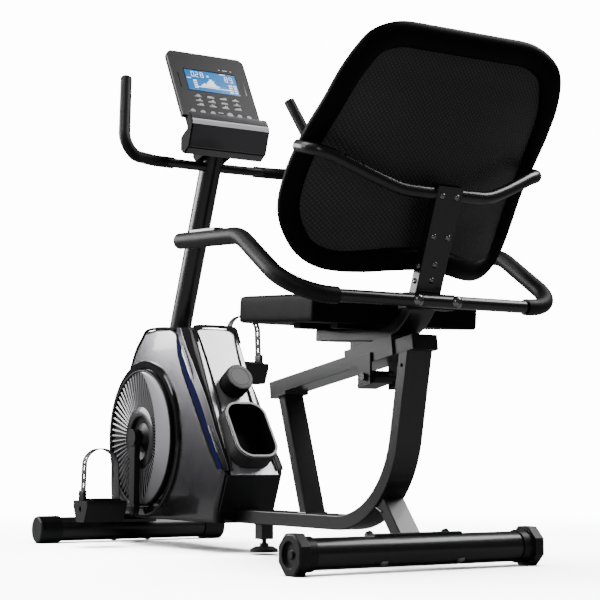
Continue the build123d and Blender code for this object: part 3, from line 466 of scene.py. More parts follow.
def facing_out(bm: bmesh.types.BMesh, out: Vector, thick_mm: float) -> None:
    """Turns an open skin outwards and gives it a wall.

    Args:
        bm: the skin.
        out: the side that most of it faces.
        thick_mm: the wall.
    """
    bmesh.ops.recalc_face_normals(bm, faces=bm.faces)
    bm.normal_update()
    if sum(f.normal.dot(out) for f in bm.faces) < 0:
        bmesh.ops.reverse_faces(bm, faces=bm.faces)
    bmesh.ops.solidify(bm, geom=bm.faces, thickness=thick_mm / 1000)


def both_halves(half: Rows, closed: bool) -> list[tuple[float, ...]]:
    """Line through a symmetric shape, each point numbered for blended().

    Args:
        half: points of the left half, which starts in the middle plane.
        closed: whether the line comes round to its start, which then repeats its first points.

    Returns:
        Rows of a number and a point.
    """
    if closed:
        line = [*half, *((x, -y, z) for x, y, z in half[-2:0:-1])]
        line += line[:3]
    else:
        line = [*((x, -y, z) for x, y, z in half[:0:-1]), *half]
    return [(float(i), *p) for i, p in enumerate(line)]


def turned(profile: Rows, centre: Vector, axis: Vector, steps: int = 64) -> bmesh.types.BMesh:
    """Closed turning of a profile about an axis.

    Args:
        profile: pairs of radius and height along the axis, in millimetres.
        centre: a point on the axis, in metres.
        axis: the axis's direction.
        steps: segments in the full turn.

    Returns:
        A bmesh in the model's frame.
    """
    bm = bmesh.new()
    ring = [bm.verts.new((r / 1000, 0, h / 1000)) for r, h in profile]
    edges = [bm.edges.new(pair) for pair in zip(ring, ring[1:])]
    bmesh.ops.spin(bm, geom=ring + edges, cent=(0, 0, 0), axis=(0, 0, 1), angle=2 * pi, steps=steps,
                   use_merge=True)
    bmesh.ops.remove_doubles(bm, verts=bm.verts, dist=1e-6)
    bmesh.ops.recalc_face_normals(bm, faces=bm.faces)
    bm.transform(facing(centre, axis))
    return bm


def slab(bm: bmesh.types.BMesh, corners: Sequence[Vector], depth: Vector) -> None:
    """Adds a prism: a flat outline pushed along a vector.

    Args:
        bm: the bmesh to add to.
        corners: the outline.
        depth: the push.
    """
    face = bm.faces.new([bm.verts.new(c) for c in corners])
    grown = bmesh.ops.extrude_face_region(bm, geom=[face])["geom"]
    bmesh.ops.translate(bm, verts=[v for v in grown if isinstance(v, bmesh.types.BMVert)], vec=depth)
    touched = {f for v in grown if isinstance(v, bmesh.types.BMVert) for f in v.link_faces} | {face}
    bmesh.ops.recalc_face_normals(bm, faces=list(touched))


def tube_through(stations: Sequence[Station], sides: int, closed: bool) -> bmesh.types.BMesh:
    """Rings of an oval roll joined one to the next.

    Args:
        stations: the rings.
        sides: corners of each ring.
        closed: whether the last ring joins the first.

    Returns:
        The roll's bmesh.
    """
    bm = bmesh.new()
    rings = []
    count = len(stations)
    for i, (centre, flat, wide, thick) in enumerate(stations):
        before = stations[(i - 1) % count if closed else max(i - 1, 0)][0]
        after = stations[(i + 1) % count if closed else min(i + 1, count - 1)][0]
        ahead = (after - before).normalized()
        across = (flat - ahead * flat.dot(ahead)).normalized()
        place = Matrix((across, ahead.cross(across), ahead)).transposed().to_4x4()
        place = Matrix.Translation(centre) @ place @ Matrix.Diagonal((wide, thick, 1, 1))
        ring = bmesh.ops.create_circle(bm, segments=sides, radius=1.0, matrix=place)["verts"]
        rings.append({e for v in ring for e in v.link_edges})
    pairs = list(zip(rings, rings[1:])) + ([(rings[-1], rings[0])] if closed else [])
    for a, b in pairs:
        bmesh.ops.bridge_loops(bm, edges=list(a | b))
    if not closed:
        bmesh.ops.holes_fill(bm, edges=bm.edges, sides=sides)
    bmesh.ops.recalc_face_normals(bm, faces=bm.faces)
    return bm


def banded(rails: Sequence[Sequence[Vector]], mirror: bool, thick_mm: float) -> bmesh.types.BMesh:
    """Skin stretched between neighbouring rails, one material for each band.

    Args:
        rails: lines of equally many points.
        mirror: whether to add the same skin on the other side of the bike.
        thick_mm: wall under the skin.

    Returns:
        The skin as a closed thin shell.
    """
    bm = bmesh.new()
    lines = [[bm.verts.new(p) for p in rail] for rail in rails]
    for band, (a, b) in enumerate(zip(lines, lines[1:])):
        for i in range(len(a) - 1):
            bm.faces.new((a[i], a[i + 1], b[i + 1], b[i])).material_index = band
    facing_out(bm, Vector((-1, 1, 0)), thick_mm)
    if mirror:
        bmesh.ops.mirror(bm, geom=list(bm.verts) + list(bm.edges) + list(bm.faces), axis="Y", merge_dist=0)
    bmesh.ops.recalc_face_normals(bm, faces=bm.faces)
    return bm


# ---------------------------------------------------------------- steel frame
@dataclass
class SteelFrame(Assembly):
    """Base, upright, rail, stabilizers and mast, with eased edges and welds."""

    body: Body = Body.FRAME
    weld_mm: float = 2.2
    # Middle in the side view, half length, distance from the middle plane and lean of each pair of beads
    weld_places: tuple = (((372, 98.5), 16, 26, 0.0), ((96, 117), 19, 26, radians(-24)),
                          ((572, 68), 16, 16, 0.0))

    def build(self) -> None:
        """Dresses the frame and lays its welds."""
        for node in ("main_frame", "seat_rail", "frame_struts"):
            self.ease(node, COAT_BLACK, "satin_black", 1.6)
        self.dress(COAT_BLACK, "rear_stabilizer", "front_stabilizer", "mast", "drive_bracket")
        self.ease("rail_end_plugs", ABS_GRAINED, "moulded_black", 0.8)
        self.ease("rear_foot_caps", ABS_GRAINED, "moulded_black", 1.2)
        self.dress(CHROMED, "frame_fasteners")
        self.dress(MACHINED, "crank_bearings", "flywheel_axle")
        self.dress(RUBBER_BLACK, "drive_belt", "leveller_foot")
        self.dress(CAST_IRON, "flywheel")
        self.dress(MACHINED, "magnet_shoe")
        self.dress(ABS_GRAINED, "transport_roller_left", "transport_roller_right")
        self.welds()

    def welds(self) -> None:
        """Beads round the feet of the strut, the brace and the leveller's socket."""
        size = self.weld_mm / 1000
        beads = []
        for (x, z), half_x, half_y, lean in self.weld_places:
            for side in (-1, 1):
                ends = [at(x - half_x, side * half_y, z), at(x + half_x, side * half_y, z)]
                turn = Matrix.Rotation(lean, 3, "Y")
                middle = at(x, side * half_y, z)
                ends = [middle + turn @ (e - middle) for e in ends]
                stations = []
                for i in range(17):
                    swell = size * (0.85 + 0.15 * abs(sin(i * pi / 2)))
                    stations.append((ends[0].lerp(ends[1], i / 16), Vector((0, 0, 1)), swell, swell))
                beads.append(tube_through(stations, 8, False))
        self.piece("weld_beads", joined(beads), COAT_BLACK, "satin_black")


# ---------------------------------------------------------------- casing
@dataclass
class Casing(Assembly):
    """Drive casing: lacquered sides, navy strips, bevel bands, spine, bottle holder and knob."""

    body: Body = Body.FRAME
    half: float = 80.0
    wall: float = 2.8
    outline: Rows = ((657, 67), (1186, 67), (1201, 96), (1207, 150), (1207, 215), (1202, 262), (1191, 318),
                     (1169, 368), (1134, 402), (1098, 430), (1063, 480), (1012, 523), (947, 526), (880, 521),
                     (856, 512), (826, 485), (789, 435), (757, 384), (725, 337), (692, 292), (654, 240),
                     (624, 191), (620, 180), (655, 97))
    # Height, then how far forward the black line (painted shade in the groove beside the navy strip), the
    # navy strip and the bevel begin on the side
    strip: Rows = ((189.0, 648.0, 640.0, 622.0), (229.0, 682.0, 671.0, 653.0), (279.0, 720.0, 709.0, 689.0),
                   (357.0, 776.0, 766.0, 740.0), (438.0, 830.0, 822.0, 804.0), (480.0, 846.0, 842.0, 827.0),
                   (507.0, 849.0, 848.0, 843.0))
    # Height, the bevel's fold forward and outward, and where it meets the spine
    bevel: Rows = ((186.0, 619.0, 66.0, 58.0), (229.0, 647.0, 66.0, 50.0), (279.0, 681.0, 67.0, 45.0),
                   (357.0, 729.0, 67.5, 42.0), (437.0, 788.0, 69.5, 44.0), (491.0, 827.0, 71.0, 48.0),
                   (513.0, 841.0, 71.0, 52.0), (524.0, 848.0, 71.0, 56.0))
    bevel_shares: tuple[float, ...] = (0.0, 0.05, 0.56, 0.88, 1.0)
    # Outer and inner edge of the brow over the spine: outward, height
    brow: tuple[Rows, Rows] = (
        ((60, 486), (60, 500), (60, 512), (60, 520), (56, 526), (44, 528), (20, 529), (0, 529)),
        ((55, 486), (54, 500), (52, 508), (48, 514), (42, 518), (33, 520.5), (16, 521.5), (0, 522)))
    seal: Rows = ((0.0, 862, 516), (1.0, 880, 522), (2.0, 947, 527), (3.0, 1008, 525), (4.0, 1032, 508),
                  (5.0, 1064, 481), (6.0, 1098, 431))
    mouth_top: tuple[float, float] = (672.0, 338.0)
    mouth_low: tuple[float, float] = (588.0, 218.0)
    mouth_half: float = 50.0
    mouth_corner: float = 34.0
    ring_profile: Rows = ((168.6, 0), (188, 0), (188, 5.5), (185.5, 8), (172.5, 8), (168.6, 5), (168.6, 0))
    knob_foot: tuple[float, float] = (722.0, 378.0)
    knob_profile: Rows = ((0, 0), (31, 0), (33, 2), (33, 43.4), (32.4, 44.6), (31.2, 45), (24.1, 45),
                          (23.6, 44.2), (22.9, 44.2), (22.4, 45), (0, 45))
    knob_ribs: int = 36

    def build(self) -> None:
        """Makes every part of the casing."""
        for side, name in SIDES:
            self.side(side, "shroud_" + name)
        self.bands()
        self.brow_band()
        self.top_seal()
        self.ease("spine_panel", PALE_LACQUER_AND_HIGHLIGHT, "pale_spine", 2.0)
        self.ease("rear_cover", ABS_GRAINED, "gloss_black", 1.2)
        self.ease("bottle_cup", MATT_BLACK, "gloss_black", 0.6)
        self.ease("bottle_rim", RIM_GREY, "pale_spine", 1.0)
        self.rim_wire()
        self.rings()
        self.knob()

    def side(self, side: int, name: str) -> None:
        """Side shell with rounded edges, open towards the middle and behind the bottle holder.

        Args:
            side: +1 for the left one, -1 for the right one.
            name: the CAD node it stands for.
        """
        bm = bmesh.new()
        face = bm.faces.new([bm.verts.new(at(x, 1.0 * side, z)) for x, z in self.outline])
        grown = bmesh.ops.extrude_face_region(bm, geom=[face])["geom"]
        outer = [v for v in grown if isinstance(v, bmesh.types.BMVert)]
        bmesh.ops.translate(bm, verts=outer, vec=Vector((0, side * (self.half - 1) / 1000, 0)))
        rim = [e for e in bm.edges if all(abs(abs(v.co.y) - self.half / 1000) < 1e-5 for v in e.verts)]
        bmesh.ops.bevel(bm, geom=rim, offset=0.009, offset_type="OFFSET", segments=5, profile=0.5,
                        affect="EDGES", material=-1)
        bmesh.ops.recalc_face_normals(bm, faces=bm.faces)
        bm.normal_update()
        low, high = at(0, 0, 170).z, at(0, 0, 512).z
        inside = []
        for face in bm.faces:
            spot = face.calc_center_median()
            rear = face.normal.x < -0.3 and low < spot.z < high and abs(spot.y) < 0.068
            if abs(spot.y) < 0.002 or rear:
                inside.append(face)
        bmesh.ops.delete(bm, geom=inside, context="FACES")
        shell = self.piece(name + "_shell", bm, SILVER_LACQUER, "silver_shell", [name], smooth=30)
        wall = shell.modifiers.new("wall", "SOLIDIFY")
        wall.thickness, wall.offset = self.wall / 1000, -1

    def spine_x(self, z: float, out: float = 4.6) -> float:
        """Where the flat spine lies.

        Args:
            z: height in millimetres.
            out: how far behind it.

        Returns:
            Millimetres forward of the rear stabilizer.
        """
        return 612 + (z - 176) * 0.564 - out

    def bands(self) -> None:
        """Navy strips with a black line of painted groove shade beside them, and on each rear bevel the
        silver band, a pale painted highlight line, black bands and a grey painted reflection beside the
        spine.
        """
        line = self.half + 0.4
        low, high = self.strip[0][0], self.strip[-1][0]
        stations = [low + (high - low) * i / 30 for i in range(31)]
        rails = [[at(blended(self.strip, z)[k], line, z) for z in stations] for k in range(3)]
        # The black band beside the navy is painted shade in the groove
        self.piece("side_strips", banded(rails, True, 1.6), [ABS_POLISHED, NAVY_LACQUER], "navy_strip",
                   ["accent_strips"])
        heights = [186 + (522 - 186) * i / 36 for i in range(37)]
        rails = [[at(blended(self.strip, min(max(z, low), high))[2] + 1, line - 0.3, z) for z in heights]]
        for share in self.bevel_shares:
            rail = []
            for z in heights:
                x, y, inner = blended(self.bevel, z)
                far = Vector((self.spine_x(z), inner))
                spot = Vector((x - 2, y + 1)).lerp(far, share)
                rail.append(at(spot.x, spot.y, z))
            rails.append(rail)
        # From the strip to the spine: silver, a pale painted highlight line, black, a grey painted
        # reflection, black
        self.piece("bevel_bands", banded(rails, True, 2.0),
                   [BEVEL_SILVER, PALE_LACQUER_AND_HIGHLIGHT, MATT_BLACK, GREY_LACQUER_AND_REFLECTION, MATT_BLACK], "gloss_black",
                   smooth=18)

    def brow_band(self) -> None:
        """Black band over the top of the spine."""
        rails = [[at(self.spine_x(z, 5.2), y, z) for y, z in edge] for edge in self.brow]
        self.piece("spine_brow", banded(rails, True, 1.6), MATT_BLACK, "gloss_black")

    def top_seal(self) -> None:
        """Black seal along the top of each side shell."""
        seals = []
        for side in (-1, 1):
            stations = []
            for i in range(49):
                x, z = blended(self.seal, i / 8)
                stations.append((at(x, side * (self.half - 3.5), z), Vector((0, 1, 0)), 0.0042, 0.0032))
            seals.append(tube_through(stations, 10, False))
        self.piece("top_seal", joined(seals), MATT_BLACK, "gloss_black", smooth=60)

    def mouth(self, wider: float, inward: Callable[[float], float], steps: int = 96) -> list[Vector]:
        """Rounded outline of the bottle holder's mouth.

        Args:
            wider: millimetres outside the mouth's own outline.
            inward: millimetres behind the mouth's plane, from 0 at its foot to 1 at its top.
            steps: how many points.

        Returns:
            The outline's points, in order round the mouth.
        """
        top, low = Vector(self.mouth_top), Vector(self.mouth_low)
        half, corner = self.mouth_half, self.mouth_corner
        along = (top - low).normalized()
        length = (top - low).length / 2
        middle = (top + low) / 2
        out = Vector((-along.y, along.x))
        points = []
        for i in range(steps):
            turn = 2 * pi * (i + 0.5) / steps
            across, up = cos(turn), sin(turn)
            y = (half - corner) * (1 if across > 0 else -1) + (corner + wider) * across
            u = (length - corner) * (1 if up > 0 else -1) + (corner + wider) * up
            spot = middle + along * u - out * inward(0.5 + u / (2 * length))
            points.append(at(spot.x, y, spot.y))
        return points

    def rim_wire(self) -> None:
        """Bright wire-thin edge round the bottle holder's mouth, and the grey collar under it, with painted
        shadow that turns it black under the spine.
        """
        face = Vector((-0.819, 0, 0.573))
        stations = [(p, face, 0.0013, 0.0013) for p in self.mouth(0.0, lambda _: -1.4)]
        self.piece("rim_wire", tube_through(stations, 8, True), PALE_LACQUER_AND_HIGHLIGHT, "pale_spine", smooth=180)
        loops = [self.mouth(4.4, lambda _: 2.5), self.mouth(5.0, lambda rise: 43 - 15 * rise)]
        rails = [loop + loop[:1] for loop in loops]
        self.piece("cup_collar", banded(rails, False, 1.0), CUP_GREY, "gloss_black", smooth=60)

    def rings(self) -> None:
        """Black ring round each turning disc, with its stepped face."""
        parts = [turned(self.ring_profile, at(AXLE_X, side * self.half, AXLE_Z), Vector((0, side, 0)), 96)
                 for side in (-1, 1)]
        self.piece("disc_rings", joined(parts), ABS_POLISHED, "gloss_black", ["side_rings"])

    def knob(self) -> None:
        """Tension knob: ribbed black side under a grey cap with a sunk ring."""
        out = Vector((-0.8715, 0, 0.4904)).normalized()
        foot = at(self.knob_foot[0], 0, self.knob_foot[1]) + out * 0.0015
        radius = max(r for r, _ in self.knob_profile) / 1000
        depth = max(h for _, h in self.knob_profile) / 1000
        bm = turned(self.knob_profile, foot, out, 72)
        for face in bm.faces:
            height = (face.calc_center_median() - foot).dot(out)
            face.material_index = 1 if height > depth - 0.001 else 0
        self.piece("knob_body", bm, [MATT_BLACK, KNOB_GREY], "moulded_black", ["tension_knob"], Body.KNOB)
        ribs = bmesh.new()
        bmesh.ops.create_cube(ribs, size=1.0, matrix=Matrix.Translation((radius + 0.0001, 0, 0.0215))
                              @ Matrix.Diagonal((0.0016, 0.0018, 0.034, 1)))
        spun(ribs, self.knob_ribs)
        ribs.transform(facing(foot, out))
        bmesh.ops.recalc_face_normals(ribs, faces=ribs.faces)
        self.piece("knob_ribs", ribs, MATT_BLACK, "moulded_black", body=Body.KNOB)


# ---------------------------------------------------------------- cranks
@dataclass
class Drive(Assembly):
    """Turning discs with fins and a plain crescent, cranks, pedals and straps."""

    body: Body = Body.CRANK
    face_out: float = 83.0
    fins: int = 66
    fin_size: tuple[float, float, float] = (0.085, 0.0042, 0.0022)
    dish: Rows = ((0, 0), (165.8, 0), (165.8, 12.5), (163.5, 13), (161.5, 12.5), (160, 5), (80, 3), (54, 3),
                  (52, 2), (0, 2))
    hub: Rows = ((53, 3), (53, 11), (55, 12.6), (73, 12.2), (76, 10.5), (77, 4), (53, 3))
    cone: Rows = ((0, 2.2), (36, 2.2), (24, 8), (19, 12.8), (0, 12.8))
    crescent_r: float = 161.0
    hollow_r: float = 200.6
    hollow_shift: float = 112.6
    hollow_swing: float = 0.968
    leg_points: int = 9
    leg_step: float = 10.4
    arch_points: int = 24
    strap_across: tuple[float, ...] = (-13.0, -2.8, 2.8, 13.0)

    def build(self) -> None:
        """Makes the discs, dresses the cranks and makes the straps."""
        for side, name in SIDES:
            self.disc(side, name)
            self.crescent(side, name)
        self.dress(MACHINED, "crank_axles")
        self.dress(ABS_GRAINED, "drive_pulley")
        for _, name in SIDES:
            self.ease("crank_arm_" + name, ABS_GRAINED, "satin_black", 2.5)
            self.ease("pedal_" + name, ABS_GRAINED, "moulded_black", 1.6, Body("pedal_" + name))
        for side, name in SIDES:
            self.strap(side, name, Body("pedal_" + name))

    def disc(self, side: int, name: str) -> None:
        """One disc: dark dish, radial fins, grey hub ring and the cone in its middle.

        Args:
            side: +1 left, -1 right.
            name: part of the pieces' names.
        """
        out = Vector((0, side, 0))
        centre = at(AXLE_X, side * self.face_out, AXLE_Z)
        self.piece(f"disc_dish_{name}", turned(self.dish, centre, out, 96), ABS_GRAINED, "gloss_black",
                   ["turning_discs"] if side > 0 else [])
        self.piece(f"disc_hub_{name}", turned(self.hub, centre, out, 72), RIM_GREY, "dark_face")
        self.piece(f"disc_cone_{name}", turned(self.cone, centre, out, 48), ABS_GRAINED, "gloss_black")
        slats = bmesh.new()
        bmesh.ops.create_cube(slats, size=1.0, matrix=Matrix.Translation((0.1185, 0, 0.0085))
                              @ Matrix.Rotation(radians(24), 4, "X") @ Matrix.Diagonal((*self.fin_size, 1)))
        for v in slats.verts:
            if v.co.x < 0.1:
                v.co.y *= 0.62
        spun(slats, self.fins)
        slats.transform(facing(centre, out))
        bmesh.ops.recalc_face_normals(slats, faces=slats.faces)
        self.piece(f"disc_fins_{name}", slats, FIN_SILVER, "dark_face", smooth=20)

    def crescent(self, side: int, name: str) -> None:
        """Smooth lacquered crescent over the rear half of a disc.

        Args:
            side: +1 left, -1 right.
            name: part of the piece's name.
        """
        bm = bmesh.new()
        bmesh.ops.create_grid(bm, x_segments=48, y_segments=8, size=0.5)
        for v in bm.verts:
            along, across = v.co.x + 0.5, v.co.y + 0.5
            turn = radians(90) + along * pi
            far = Vector((cos(turn), sin(turn))) * self.crescent_r
            swing = self.hollow_swing * (1 - 2 * along)
            near = Vector((self.hollow_shift - self.hollow_r * cos(swing), self.hollow_r * sin(swing)))
            near *= min(1.0, self.crescent_r / near.length)
            spot = far.lerp(near, across)
            crown = 0.5 * (1 - (2 * across - 1) ** 2)
            v.co = at(AXLE_X + spot.x, side * (95.2 + crown), AXLE_Z + spot.y)
        bmesh.ops.remove_doubles(bm, verts=bm.verts, dist=1e-5)
        facing_out(bm, Vector((0, side, 0)), 4.0)
        bmesh.ops.recalc_face_normals(bm, faces=bm.faces)
        self.piece(f"disc_crescent_{name}", bm, CRESCENT_GREY, "silver_shell")

    def strap_path(self, sole_z: float) -> list[tuple[float, float]]:
        """Line of a strap: up the outer leg, over the arch and down the inner leg.

        Args:
            sole_z: height of the pedal's spindle.

        Returns:
            Pairs of millimetres outward and height.
        """
        top = sole_z + 20 + (self.leg_points - 1) * self.leg_step
        path = [(243 - i * 0.4, sole_z + 20 + i * self.leg_step) for i in range(self.leg_points)]
        for i in range(1, self.arch_points):
            turn = pi * i / self.arch_points
            path.append((198 + 42 * cos(turn), top + 40 * sin(turn)))
        path += [(156 - i * 0.4, top - i * self.leg_step) for i in range(self.leg_points)]
        return path

    def strap(self, side: int, name: str, body: Body) -> None:
        """Foot strap with a row of adjusting holes, arched over the sole, and its clasp.

        Args:
            side: +1 left, -1 right.
            name: part of the pieces' names.
            body: the pedal it is on.
        """
        sole_z = AXLE_Z - side * CRANK_MM
        path = self.strap_path(sole_z)
        bm = bmesh.new()
        lines = [[bm.verts.new(at(AXLE_X + dx, side * y, z)) for y, z in path] for dx in self.strap_across]
        holes = []
        for column, (a, b) in enumerate(zip(lines, lines[1:])):
            for i in range(len(path) - 1):
                face = bm.faces.new((a[i], a[i + 1], b[i + 1], b[i]))
                if column == 1 and i % 2 and i <= 13:
                    holes.append(face)
        bmesh.ops.recalc_face_normals(bm, faces=bm.faces)
        bmesh.ops.delete(bm, geom=holes, context="FACES")
        strap = self.piece(f"strap_band_{name}", bm, RUBBER_BLACK, "moulded_black", [f"strap_{name}"], body)
        wall = strap.modifiers.new("wall", "SOLIDIFY")
        wall.thickness, wall.offset = 0.0024, 0
        edge = strap.modifiers.new("eased edges", "BEVEL")
        edge.width, edge.segments = 0.0007, 2
        clasp = bmesh.new()
        bmesh.ops.create_cube(clasp, size=1.0, matrix=Matrix.Translation(at(AXLE_X, side * 244, sole_z + 32))
                              @ Matrix.Diagonal((0.030, 0.009, 0.024, 1)))
        bmesh.ops.bevel(clasp, geom=clasp.edges[:], offset=0.0025, segments=3, profile=0.5, affect="EDGES",
                        material=-1)
        self.piece(f"strap_clasp_{name}", clasp, ABS_GRAINED, "moulded_black", body=body)


# ---------------------------------------------------------------- console
@dataclass
class Console(Assembly):
    """Console face with its lit screen, printed programme marks, keys, slots and ledge."""

    body: Body = Body.FRAME
    lean: float = radians(28.1)
    foot: tuple[float, float] = (770.0, 1021.0)
    # Heights of the bars in the screen's graph, and in each printed programme profile
    graph: tuple[int, ...] = (4, 7, 10, 7, 13, 18, 24, 24, 19, 11, 6, 4)
    profiles: Rows = ((1, 2, 4, 6, 7, 6, 4, 2), (3, 4, 5, 5, 4, 4, 3, 3), (2, 2, 3, 3, 4, 4, 5, 5),
                      (1, 2, 3, 5, 6, 4, 2, 1), (1, 1, 2, 3, 5, 7, 3, 1), (2, 2, 3, 4, 5, 7, 8, 3),
                      (1, 3, 3, 4, 3, 3, 2, 2), (1, 1, 2, 4, 7, 4, 2, 1), (1, 2, 3, 4, 6, 6, 5, 5),
                      (1, 2, 2, 7, 3, 6, 2, 1), (1, 2, 3, 4, 8, 3, 7, 1), (2, 3, 3, 4, 4, 5, 5, 6))

    def build(self) -> None:
        """Makes the console."""
        self.ease("console_face", FACE_GREY, "dark_face", 1.4)
        self.ease("console_housing", MATT_BLACK, "moulded_black", 2.0)
        self.ease("console_shelf", MATT_BLACK, "gloss_black", 1.6)
        self.dress(SCREEN_BLUE, "console_screen")
        for i in range(1, 7):
            self.dress(KEY_GREY, f"button_{i}")
        self.readout()
        self.marks()
        self.trim()
        self.lip()

    def on_face(self, y: float, up: float, out: float = 0.0) -> Vector:
        """Point on the face.

        Args:
            y: millimetres to the rider's left.
            up: millimetres up the face from its foot.
            out: millimetres towards the rider.

        Returns:
            The point in the model's frame.
        """
        return at(self.foot[0] + sin(self.lean) * up - cos(self.lean) * out, y,
                  self.foot[1] + cos(self.lean) * up + sin(self.lean) * out)

    def plate(self, bm: bmesh.types.BMesh, y: float, up: float, wide: float, tall: float, out: float,
              thick: float) -> None:
        """Adds a thin plate on the face.

        Args:
            bm: the bmesh to add to.
            y: middle of the plate.
            up: its middle's height up the face.
            wide: width.
            tall: height.
            out: how far its front stands off the face.
            thick: thickness.
        """
        corners = [self.on_face(y + sy * wide / 2, up + su * tall / 2, out)
                   for sy, su in ((1, -1), (-1, -1), (-1, 1), (1, 1))]
        slab(bm, corners, self.on_face(0, 0, -thick) - self.on_face(0, 0, 0))

    def lit(self, bm: bmesh.types.BMesh, y: float, up: float, wide: float, tall: float) -> None:
        """Adds a lit mark on the sunk screen.

        Args:
            bm: the bmesh to add to.
            y: middle of the mark.
            up: its middle's height up the face.
            wide: width.
            tall: height.
        """
        self.plate(bm, y, up, wide, tall, -0.25, 0.25)

    def digit(self, bm: bmesh.types.BMesh, bars: str, y: float, up: float, wide: float, tall: float) -> None:
        """Seven-segment figure.

        Args:
            bm: the bmesh to add to.
            bars: letters a to g of the lit bars.
            y: middle of the figure.
            up: its middle's height up the face.
            wide: width.
            tall: height.
        """
        bar = wide * 0.24
        spots = {"a": (0, tall / 2, wide, bar), "g": (0, 0, wide, bar), "d": (0, -tall / 2, wide, bar),
                 "b": (-wide / 2, tall / 4, bar, tall / 2), "c": (-wide / 2, -tall / 4, bar, tall / 2),
                 "f": (wide / 2, tall / 4, bar, tall / 2), "e": (wide / 2, -tall / 4, bar, tall / 2)}
        for letter in bars:
            dy, du, w, t = spots[letter]
            self.lit(bm, y + dy, up + du, w * 0.86, t * 0.9)

    def readout(self) -> None:
        """Lit figures, bars and rules on the screen."""
        bm = bmesh.new()
        for y, bars in ((49, "abcdef"), (38, "abged"), (24, "abcdefg")):
            self.digit(bm, bars, y, 134, 7, 15)
        for y, bars in ((-43, "abcdefg"), (-56, "abcfgd")):
            self.digit(bm, bars, y, 130, 7.5, 16)
        self.lit(bm, 8, 132, 5, 5)
        for i, tall in enumerate(self.graph):
            self.lit(bm, 30 - i * 4.2, 99 + tall / 2, 3.9, tall)
        self.lit(bm, -2, 96, 92, 2.4)
        self.lit(bm, 62, 121, 12, 2.4)
        for row in range(4):
            self.lit(bm, 47, 93 + row * 7, 9, 4.4)
            self.lit(bm, -50, 90 + row * 7, 10, 4.2)
            self.lit(bm, -63, 90 + row * 7, 8, 4.2)
        self.lit(bm, -35, 144, 16, 2.4)
        self.piece("screen_readout", bm, SEGMENT_WHITE, "lit_screen")

    def marks(self) -> None:
        """Small printed programme profiles and captions."""
        bm = bmesh.new()
        for i, profile in enumerate(self.profiles):
            y, up = 52 - (i % 4) * 34.5, 64 - (i // 4) * 13.5
            for k, tall in enumerate(profile):
                self.plate(bm, y + 7 - k * 2.3, up + tall * 0.45, 2.0, tall * 0.9, 0.15, 0.3)
            self.plate(bm, y - 1, up - 1.4, 20, 1.1, 0.15, 0.3)
        for y, up, wide in ((0, 19, 15), (-46, 158, 13), (-62, 158, 5), (-30, 158, 5)):
            self.plate(bm, y, up, wide, 2.2, 0.15, 0.3)
        self.piece("face_marks", bm, PRINT_WHITE, "dark_face")

    def trim(self) -> None:
        """Slots beside the screen and the thin frame round it."""
        slots = bmesh.new()
        for side in (-1, 1):
            self.plate(slots, side * 90, 110, 2.4, 46, 0.12, 0.3)
        self.piece("face_slots", slots, ABS_POLISHED, "gloss_black")
        bezel = bmesh.new()
        for y, up, wide, tall in ((0, 148, 144, 1.6), (0, 81.4, 144, 1.6), (71.4, 114.6, 1.6, 66),
                                  (-71.4, 114.6, 1.6, 66)):
            self.plate(bezel, y, up, wide, tall, 0.3, 0.6)
        self.piece("screen_bezel", bezel, ABS_POLISHED, "gloss_black")

    def lip(self) -> None:
        """Moulded lip along the ledge, its rounded edge white and glowing a little as a painted highlight,
        and the smoked chin under it.
        """
        rails = [[at(x, y, z) for y in (-104, 104)]
                 for x, z in ((741.5, 1024), (730, 1006), (726.2, 1002), (726.2, 992.5))]
        # The two white bands round the lip's edge are a painted highlight
        self.piece("ledge_lip", banded(rails, False, 1.2), [GREY_LACQUER_AND_REFLECTION, LEDGE_HIGHLIGHT, LEDGE_HIGHLIGHT],
                   "pale_spine")
        rails = [[at(x, y, z) for y in (-102, 102)]
                 for x, z in ((726.2, 991.5), (744.2, 941.6), (768, 927.2))]
        self.piece("ledge_front", banded(rails, False, 1.2), [LEDGE_GREY, GREY_LACQUER_AND_REFLECTION], "dark_face")


# ---------------------------------------------------------------- handlebars
@dataclass
class Bars(Assembly):
    """Front and seat handlebars with their foam sleeves and sensor plates."""

    body: Body = Body.FRAME

    def build(self) -> None:
        """Dresses the bars."""
        self.dress(COAT_BLACK, "front_handlebar", "seat_handlebar")
        self.dress(FOAM_BLACK, "front_grips", "seat_grips")
        self.ease("pulse_plates", ABS_POLISHED, "sensor_steel", 1.2, Body.SEAT)


